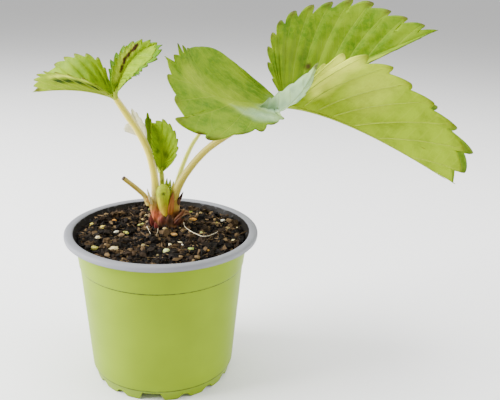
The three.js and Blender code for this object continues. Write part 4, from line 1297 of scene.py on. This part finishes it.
MATURE = {
    "leaf_b_top": dict(
        rib=[(63.1, 6.3, 155.9), (87, 25, 168), (143.6, 33, 191.2)],
        face=[(0, -0.63, 0.78), (-0.03, -0.55, 0.84)],
        fold=[(22, 12), (39, 40)], curl=(6, 11),
        edge=[[(0.11, 22), (0.37, 39), (0.74, 33.5), (0.86, 20)],
              [(0.1, 9), (0.36, 20.5), (0.68, 21.2), (0.89, 14.5)]],
        teeth=((13, 0.05, 6.5, 3.0), (8, 0.3, 2.4, 1.6)), pleat=0.35, groove=0.15, tips=0.8, seed=4,
        # The dark mark is painted shade towards the base of the blade.
        marks=[("burn", (76.5, 20, 173), 3.2, 1.0), ("pale", (110, 12, 176), 16, 0.2),
               ("dark", (70, 18, 181), 14, 0.45)]),
    "leaf_b_near": dict(
        rib=[(62, 2.9, 155.8), (26, -26, 156), (10, -45.5, 181.5)],
        face=[(-0.17, -0.42, 0.89), (-0.08, -0.66, 0.75)],
        fold=[(8, 9), (24, -2)], curl=(9, 9),
        edge=[[(0.22, 20), (0.33, 30), (0.84, 42), (0.95, 22)],
              [(0.09, 15.5), (0.29, 34.5), (0.55, 31.5), (0.84, 15)]],
        teeth=((9, 0.1, 4.2, 1.6), (4, 0.68, 8.5, 1.4)), pleat=0.15, groove=0.1, tips=0.5,
        ragged=0.7, seed=9,
        # The first two marks are the blue-grey waxy coat with a painted sheen where the blade
        # curves.
        marks=[("wax_and_sheen", (64, -14, 157), 19, 0.8), ("wax_and_sheen", (53, -30, 155.6), 17, 0.5),
               ("pale", (44, -24, 160), 22, 0.16), ("pale", (22, -30, 172), 16, 0.16),
               ("burn", (26.1, -73.3, 155.8), 2.2, 0.9), ("burn", (29.5, -74, 152.5), 2.6, 0.9)]),
    "leaf_b_right": dict(
        rib=[(63.9, 4.1, 153.9), (93, -3, 154), (146.5, -25, 124.8)],
        face=[(0.08, 0.43, 0.9), (0.27, 0.21, 0.94)],
        fold=[(46, 52), (46, 53)], curl=(11, 6),
        edge=[[(0.1, 13), (0.36, 33), (0.73, 36), (0.99, 20.4)],
              [(0.17, 18), (0.38, 35), (0.67, 33.5), (0.94, 21)]],
        teeth=(9, 0.22, 5.0, 1.5), pleat=0.3, groove=0.15, tips=0.35, ragged=0.4, seed=6,
        # The first pale line is pale streaks with a painted highlight along the upper margin.
        marks=[("pale", [(79, -4.5, 166), (86, -9.5, 175), (94, -14, 181)], 10, 0.75),
               ("pale", (106, -12, 170), 22, 0.22),
               ("burn", (131.9, -22.1, 139.9), 1.1, 0.9)]),
}

YOUNG = {
    "leaf_a_left": dict(
        rib=[(-25.3, 4.9, 155.4), (-40.3, -3.1, 162.6), (-67.6, 10, 156.2)],
        face=[(-0.07, -0.42, 0.91), (0.1, -0.21, 0.97)],
        fold=[(42, 60), (51, 42)], curl=(4, 8),
        edge=[[(0.17, 8), (0.35, 16), (0.59, 16), (0.82, 11)],
              [(0.1, 6.6), (0.35, 17.4), (0.71, 16), (0.87, 10)]],
        teeth=(8, 0.25, 3), pleat=0.5, tips=0.85, seed=2,
        # The dark line is painted shadow of the pleats above the near half's lower band.
        marks=[("dark", [(-53, -2.2, 163.8), (-44, -6.5, 165.4), (-38, -7.8, 164.8),
                         (-31, -4.7, 161.7)], 3.6, 1.0),
               ("pale", [(-56, -4, 165.5), (-48.5, -9, 168), (-40, -11, 168.3),
                         (-33, -9, 165.5)], 1.8, 0.6),
               ("burn", (-66, 9, 158), 3, 0.7)]),
    "leaf_a_middle": dict(
        rib=[(-24.3, 4.6, 156.1), (-19.3, 0.8, 176.9), (-1.3, -8, 184.6)],
        face=[(-0.2, -0.74, 0.65), (0.11, -0.73, 0.67)],
        fold=[(56, 55), (36, 2)], curl=(10, 15),
        edge=[[(0.18, 4), (0.43, 6), (0.65, 6), (0.84, 4.5)],
              [(0.19, 6.6), (0.47, 12), (0.71, 14), (1, 9.3)]],
        teeth=(7, 0.3, 2.6), pleat=0.4, tips=0.5, seed=5,
        marks=[("pale", [(-23, 1.5, 165), (-21, 0.6, 172), (-17, -2.5, 178),
                         (-11.5, -5, 183)], 3.2, 0.35),
               ("burn", [(-20.4, 0.4, 169), (-17.5, -2.2, 176.1), (-14, -4, 180),
                         (-10.7, -5.8, 183.6)], 1.35, 1.0)]),
    "leaf_a_rear": dict(
        rib=[(-24.9, 6.5, 155.9), (-27.2, 24.5, 174), (-2.2, 13, 181.6)],
        face=[(-0.09, -0.69, 0.72), (0.07, -0.73, 0.68)],
        fold=[(3, 4), (20, 6)], curl=(3, 2),
        edge=[[(0.19, 4), (0.43, 7.3), (0.69, 7.7), (0.85, 4.6)],
              [(0.12, 5), (0.36, 10), (0.7, 13), (1.0, 10)]],
        teeth=(8, 0.25, 3), pleat=0.4, tips=0.6, seed=8,
        # The dark mark is painted shade on this leaflet, which lies in shade.
        marks=[("dark", (-24, 15, 172), 14, 0.3)]),
}

# What the three leaflets of leaf C share.
HIDDEN = dict(fold=[(25, 20), (25, 20)], curl=(8, 8), teeth=(6, 0.3, 1.8), pleat=0.25,
              edge=[[(0.15, 4), (0.4, 8), (0.7, 8), (0.92, 5)]] * 2)

SMALL = {
    "leaf_c_left": dict(
        rib=[(24, 27.1, 144.7), (14, 32, 156), (5, 36, 156)],
        face=[(0.2, -0.5, 0.85), (-0.1, -0.4, 0.9)], seed=11, **HIDDEN),
    "leaf_c_middle": dict(
        rib=[(25.4, 28.1, 144.2), (30, 40, 158), (33, 52, 158)],
        face=[(0.1, -0.6, 0.8), (0, -0.4, 0.9)], seed=12, **HIDDEN),
    "leaf_c_right": dict(
        rib=[(25.8, 26.7, 144.2), (38, 24, 156), (47, 22, 155)],
        face=[(-0.2, -0.5, 0.85), (0.1, -0.4, 0.9)], seed=13, **HIDDEN),
    "leaf_d_front": dict(
        rib=[(-1.6, 11.6, 113.2), (0.8, 11, 125.9), (-5.9, 8.8, 141)],
        face=[(0, -0.92, 0.4), (0.1, -0.9, 0.4)], fold=[(42, 38), (25, 25)], curl=(10, 12),
        edge=[[(0.15, 3), (0.4, 6), (0.7, 5.8), (0.9, 3)],
              [(0.15, 4), (0.4, 9), (0.72, 11), (0.98, 7.5)]],
        teeth=(7, 0.35, 1.6), pleat=0.35, seed=14,
        # The two dark marks are painted shade on the folded halves.
        marks=[("dark", (-3.6, 8.5, 126), 2.6, 0.75), ("dark", (1.2, 9.5, 124), 3.2, 0.7)]),
    "leaf_d_rear": dict(
        rib=[(-2.8, 14, 112.8), (-9, 17, 126), (-9.2, 14.6, 145.2)],
        face=[(0.2, -0.9, 0.2), (0.2, -0.9, 0.2)], fold=[(24, 24), (24, 24)], curl=(6, 6),
        edge=[[(0.15, 1.6), (0.4, 3.2), (0.7, 3), (0.9, 1.6)]] * 2, teeth=(5, 0.35, 0.9),
        pleat=0.15, seed=15),
}

BRACT = dict(
    rib=[(-9.9, 10.8, 131.2), (-13.6, 12.4, 138), (-17.4, 12.6, 147.6)],
    face=[(0, -0.95, 0.3), (0, -0.95, 0.3)], fold=[(5, 5), (12, 12)], curl=(8, 10),
    edge=[[(0.15, 2), (0.4, 5), (0.58, 8.4), (0.74, 3.6)],
          [(0.12, 1.8), (0.35, 3.2), (0.6, 3), (0.85, 1.8)]],
    teeth=(3, 0.4, 0.9), pleat=0.15, seed=21)

STIPULE = dict(
    rib=[(8.9, 6.6, 89.6), (11.6, 5.2, 92.2), (14.8, 4.6, 92)],
    face=[(-0.1, -0.7, 0.7), (0.2, -0.7, 0.7)], fold=[(10, 20), (10, 30)], curl=(30, 40),
    edge=[[(0.1, 2.2), (0.35, 2.8), (0.65, 2), (0.85, 1)]] * 2,
    teeth=(2, 0.6, 0.3), pleat=0.1, seed=22)

ROLLED_LOBE = dict(
    rib=[(49, -12, 151.5), (69.5, -13, 153), (78, -9.5, 177)],
    face=[(0, 0.5, 0.86), (0.1, 0.9, 0.4)], fold=[(20, 30), (20, 30)], curl=(30, 30),
    edge=[[(0.1, 6), (0.4, 7.5), (0.7, 6), (0.9, 2.6)]] * 2,
    teeth=(4, 0.2, 2.6, 1.6), pleat=0.8, ragged=0.7, seed=23,
    marks=[("wax_and_sheen", (68, -12, 158), 34, 0.8), ("wax_and_sheen", (76, -11, 166), 18, 0.5),
           ("burn", (78, -9.5, 176.5), 2.0, 0.6)])


class STRAWBERRY_OT_mature_leaf(bpy.types.Operator):
    """Bends and veins the three large leaflets of the oldest leaf"""
    bl_idname = "strawberry.mature_leaf"
    bl_label = "Mature leaf"

    def execute(self, context):
        settings = context.scene.strawberry_leaf
        upper = leaf_tissue("living leaf, upper side", "456800", settings.mature, "86952A",
                            0.5, -0.8)
        lower = leaf_tissue("living leaf, lower side", "667D01", settings.underside, "9AA632",
                            0.6, 0.9, vein_mix=0.35)
        ridge = plain_fibre("living leaf, raised veins", "8A9C12", "7A8E08")
        for name, spec in MATURE.items():
            slot = "leaf_underside" if name == "leaf_b_right" else "old_leaf"
            build_leaflet(name + "_blade", spec, (upper, lower, ridge), slot,
                          blade=settings.blade / MM, along=170, across=28, rib_radius=0.75,
                          node=name, stalk="petiole_b")
        build_leaflet("leaf_b_rolled_lobe", ROLLED_LOBE, (lower, lower, ridge), "old_leaf",
                      blade=settings.blade / MM, along=60, across=16, rib_radius=0.12)
        return {"FINISHED"}


class STRAWBERRY_OT_young_leaves(bpy.types.Operator):
    """Bends and veins the leaflets of the younger leaves, the bract and the dry stipule"""
    bl_idname = "strawberry.young_leaves"
    bl_label = "Young leaves"

    def execute(self, context):
        settings = context.scene.strawberry_leaf
        upper = leaf_tissue("young leaf, upper side", "5F7E00", settings.young, "98A80C",
                            0.5, -0.8)
        lower = leaf_tissue("young leaf, lower side", "667F02", settings.underside, "A0AC2A",
                            0.6, 0.9, vein_mix=0.35)
        # A darker copy of the leaf's upper side, as painted shade, for the rear leaflet of leaf A.
        shaded = leaf_tissue("older leaf, upper side, darkened as painted shade", "416C01", linear("588004"), "7C9428",
                             0.5, -0.8)
        ridge = plain_fibre("young leaf, raised veins", "99A61C", "84940E")
        for name, spec in YOUNG.items():
            top = shaded if name == "leaf_a_rear" else upper
            slot = "old_leaf" if name == "leaf_a_rear" else "young_leaf"
            build_leaflet(name + "_blade", spec, (top, lower, ridge), slot,
                          blade=0.4, along=110, across=16, rib_radius=0.5,
                          node=name, stalk="petiole_a")
        for name, spec in SMALL.items():
            build_leaflet(name + "_blade", spec, (upper, lower, ridge), "young_leaf",
                          blade=0.35, along=70, across=10, rib_radius=0.32,
                          node=name, stalk="petiole_" + name[5])
        film = plain_fibre("bract, dry pale film", "DEDCC0", "C8C79A", 0.5)
        build_leaflet("petiole_bract_film", BRACT, (film, film, film), "young_stem",
                      blade=0.3, along=40, across=8, rib_radius=0.2, node="petiole_bract")
        dry = plain_fibre("stipule, dried brown", "7A5732", "3E2818", 0.7)
        build_leaflet("dry_stipule_flake", STIPULE, (dry, dry, dry), "dry_tissue",
                      blade=0.4, along=30, across=8, rib_radius=0.25, node="dry_stipule")
        return {"FINISHED"}


# ---------------------------------------------------------------- hairs and roots

HAIRS_PER_MM = {"petiole_a": 5.5, "petiole_b": 5.0, "petiole_c": 5.0, "petiole_d": 5.0,
                "cut_petiole": 3.5}
BUD_HAIRS = 80
FIBRES = 34              # dead fibres round the crown's foot
ROOT = [(10.5, 12), (12, 5), (15.3, 0), (19, -4.5), (23.5, -8), (28, -4), (32.1, 6)]
ROOTLETS = [([(-9, 3, 84.5), (-7.5, 0, 83.4), (-6, -4, 82.9), (-4.5, -9, 82.3)], 0.16),
            ([(-2.6, 2.5, 84), (-2.4, -1, 82.9), (-2.8, -5, 82.4)], 0.14)]


class STRAWBERRY_OT_hairs(bpy.types.Operator):
    """Sets the soft hairs on the stalks, and the fibres and the root on the soil"""
    bl_idname = "strawberry.hairs"
    bl_label = "Hairs and roots"

    def execute(self, context):
        settings = context.scene.strawberry_stalk
        rng = random.Random(77)
        length = settings.hair / MM
        bm = bmesh.new()
        for name, per_mm in HAIRS_PER_MM.items():
            stalk = STALKS[name]
            for _ in range(int(stalk.length * per_mm)):
                share = rng.uniform(0.12, 0.98)
                angle = rng.uniform(0, 2 * math.pi)
                point, front, side = stalk.frame(share)
                out = front * math.cos(angle) + side * math.sin(angle)
                lean = Vector([rng.uniform(*limits)
                               for limits in ((-0.5, 0.5), (-0.5, 0.5), (-0.2, 0.6))])
                foot = point + out * stalk.radius(share) * 0.95
                out = (out + lean).normalized()
                self.hair(bm, foot, out, length * rng.uniform(0.5, 1.2), 0.035)
        for _ in range(BUD_HAIRS):
            angle = rng.uniform(0, 2 * math.pi)
            foot = BUD_LINE.at(rng.uniform(0.75, 0.97))[0]
            foot += Vector((3.7 * math.cos(angle), 3.3 * math.sin(angle), 0))
            out = Vector((math.cos(angle), math.sin(angle), rng.uniform(0.3, 1.4))).normalized()
            self.hair(bm, foot, out, length * rng.uniform(0.5, 1.4), 0.022)
        white = plain_fibre("plant hair, silky", "E9E6D2", "D9D8B8", 0.4)
        new_piece("stalk_hairs", bm, (white,), "young_stem")

        bm = bmesh.new()
        bm.loops.layers.uv.new("Stalk")
        self.thread(bm, [(x, y, SOIL_LEVEL + soil_height(x, y) + 2.4) for x, y in ROOT], 0.2)
        for line, radius in ROOTLETS:
            self.thread(bm, line, radius)
        dark = bmesh.new()
        dark.loops.layers.uv.new("Stalk")
        for _ in range(FIBRES):
            angle = rng.uniform(math.pi * 0.9, math.pi * 2.15)
            out = Vector((math.cos(angle), math.sin(angle), 0))
            foot = Vector((CROWN_X, CROWN_Y - 1, 0)) + out * rng.uniform(5.0, 6.5)
            reach = rng.uniform(1.5, 6)
            far = foot + out * reach + Vector((rng.uniform(-2, 2), rng.uniform(-2, 2), 0))
            middle = foot.lerp(far, 0.5)
            line = [(foot.x, foot.y, rng.uniform(84, 88)),
                    (middle.x, middle.y, rng.uniform(83, 84.5)),
                    (far.x, far.y, SOIL_LEVEL + crumbled(far.x, far.y) + 0.4)]
            self.thread(dark, line, rng.uniform(0.14, 0.3))
        new_piece("crown_fibres", dark, (plain_fibre("dead stipule fibre", "3A241E", "1E1411"),),
                  "dry_tissue")
        new_piece("root_threads", bm, (plain_fibre("root thread, pale", "D8CFB4", "B9A886"),),
                  "young_stem")
        return {"FINISHED"}

    @staticmethod
    def hair(bm, foot, out, length, radius):
        """A three-sided needle."""
        across = out.orthogonal().normalized()
        made = bmesh.ops.create_cone(bm, cap_ends=False, segments=3, radius1=radius * MM,
                                     radius2=0.004 * MM, depth=length * MM)["verts"]
        turn = Matrix((across, out.cross(across), out)).transposed().to_4x4()
        shift = Matrix.Translation((foot + out * length / 2) * MM)
        bmesh.ops.transform(bm, verts=made, matrix=shift @ turn)

    @staticmethod
    def thread(bm, points, radius):
        """A thin root along a smooth curve."""
        line = Stalk(points, [radius, radius * 0.6])
        add_stalk(bm, line, sides=7, steps=40, groove=0.0, tip=0.4)


# ---------------------------------------------------------------- stage

class STRAWBERRY_OT_stage(bpy.types.Operator):
    """Sets up the pale floor, the soft lights and the camera"""
    bl_idname = "strawberry.stage"
    bl_label = "Stage"

    def execute(self, context):
        settings = context.scene.strawberry_stage
        bm = bmesh.new()
        bmesh.ops.create_grid(bm, x_segments=1, y_segments=1, size=12)

        def build(tree, bsdf):
            tone = ramp(tree, clouds(tree, object_place(tree), 3.0), 0.0, 1.0, 0.99, 1.01)
            shown = brightened(tree, settings.floor, tone)
            tree.links.new(shown, bsdf.inputs["Base Color"])

        paint = new_material("painted studio floor", {"Roughness": 0.8}, build)
        floor = mesh_object("floor", bm, (paint,))

        self.light("key", (-0.9, -0.15, 0.5), 0.7, settings.key)
        self.light("fill", (0.9, -0.1, 0.45), 0.8, settings.key * 0.3)
        self.light("top", (0.0, 0.2, 0.95), 0.9, settings.key * 0.3)
        world = bpy.data.worlds.new("studio")
        world.use_nodes = True
        background = world.node_tree.nodes["Background"].inputs
        background["Color"].default_value = (1, 1, 1, 1)
        background["Strength"].default_value = WORLD_STRENGTH
        context.scene.world = world
        self.camera(context)
        return {"FINISHED"}

    @staticmethod
    def light(name, place, size, power):
        data = bpy.data.lights.new(name, "AREA")
        data.shape, data.size, data.energy = "SQUARE", size, power
        lamp = linked(name, data)
        lamp.location = place
        aim = Vector(LIGHTS_AIM) * MM - Vector(place)
        lamp.rotation_euler = aim.to_track_quat("-Z", "Y").to_euler()

    @staticmethod
    def camera(context):
        data = bpy.data.cameras.new("camera")
        data.sensor_width, data.lens = CAMERA_SENSOR, CAMERA_LENS
        data.clip_start, data.clip_end = 0.01, 20
        pitch, roll = math.radians(CAMERA_PITCH), math.radians(CAMERA_ROLL)
        right = Vector((1, 0, 0))
        up = Vector((0, math.sin(pitch), math.cos(pitch)))
        back = Vector((0, -math.cos(pitch), math.sin(pitch)))
        turned_right = right * math.cos(roll) + up * math.sin(roll)
        turned_up = up * math.cos(roll) - right * math.sin(roll)
        matrix = Matrix((turned_right, turned_up, back)).transposed().to_4x4()
        matrix.translation = Vector(CAMERA_PLACE) * MM
        camera = linked("camera", data)
        camera.matrix_world = matrix
        context.scene.camera = camera


# ---------------------------------------------------------------- add-on

SETTINGS = {"strawberry_pot": PotSettings, "strawberry_soil": SoilSettings,
            "strawberry_leaf": LeafSettings, "strawberry_stalk": StalkSettings,
            "strawberry_stage": StageSettings}
OPERATORS = (STRAWBERRY_OT_stage, STRAWBERRY_OT_pot, STRAWBERRY_OT_soil, STRAWBERRY_OT_crown,
             STRAWBERRY_OT_stalks, STRAWBERRY_OT_mature_leaf, STRAWBERRY_OT_young_leaves,
             STRAWBERRY_OT_hairs)


class STRAWBERRY_PT_panel(bpy.types.Panel):
    """Lists the plant's settings and the steps that build it"""
    bl_idname = "STRAWBERRY_PT_panel"
    bl_label = "Potted strawberry"
    bl_space_type = "VIEW_3D"
    bl_region_type = "UI"
    bl_category = "Strawberry"

    def draw(self, context):
        for group, kind in SETTINGS.items():
            box = self.layout.box()
            settings = getattr(context.scene, group)
            for name in kind.__annotations__:
                box.prop(settings, name)
        for operator in OPERATORS:
            self.layout.operator(operator.bl_idname)


def register():
    for kind in (*SETTINGS.values(), *OPERATORS, STRAWBERRY_PT_panel):
        bpy.utils.register_class(kind)
    for group, kind in SETTINGS.items():
        setattr(bpy.types.Scene, group, bpy.props.PointerProperty(type=kind))


def unregister():
    for group in SETTINGS:
        delattr(bpy.types.Scene, group)
    for kind in (STRAWBERRY_PT_panel, *reversed(OPERATORS), *SETTINGS.values()):
        bpy.utils.unregister_class(kind)


def main():
    register()
    bpy.ops.strawberry.stage()
    bpy.ops.strawberry.pot()
    bpy.ops.strawberry.soil()
    bpy.ops.strawberry.crown()
    bpy.ops.strawberry.stalks()
    bpy.ops.strawberry.mature_leaf()
    bpy.ops.strawberry.young_leaves()
    bpy.ops.strawberry.hairs()


if __name__ == "__main__":
    main()
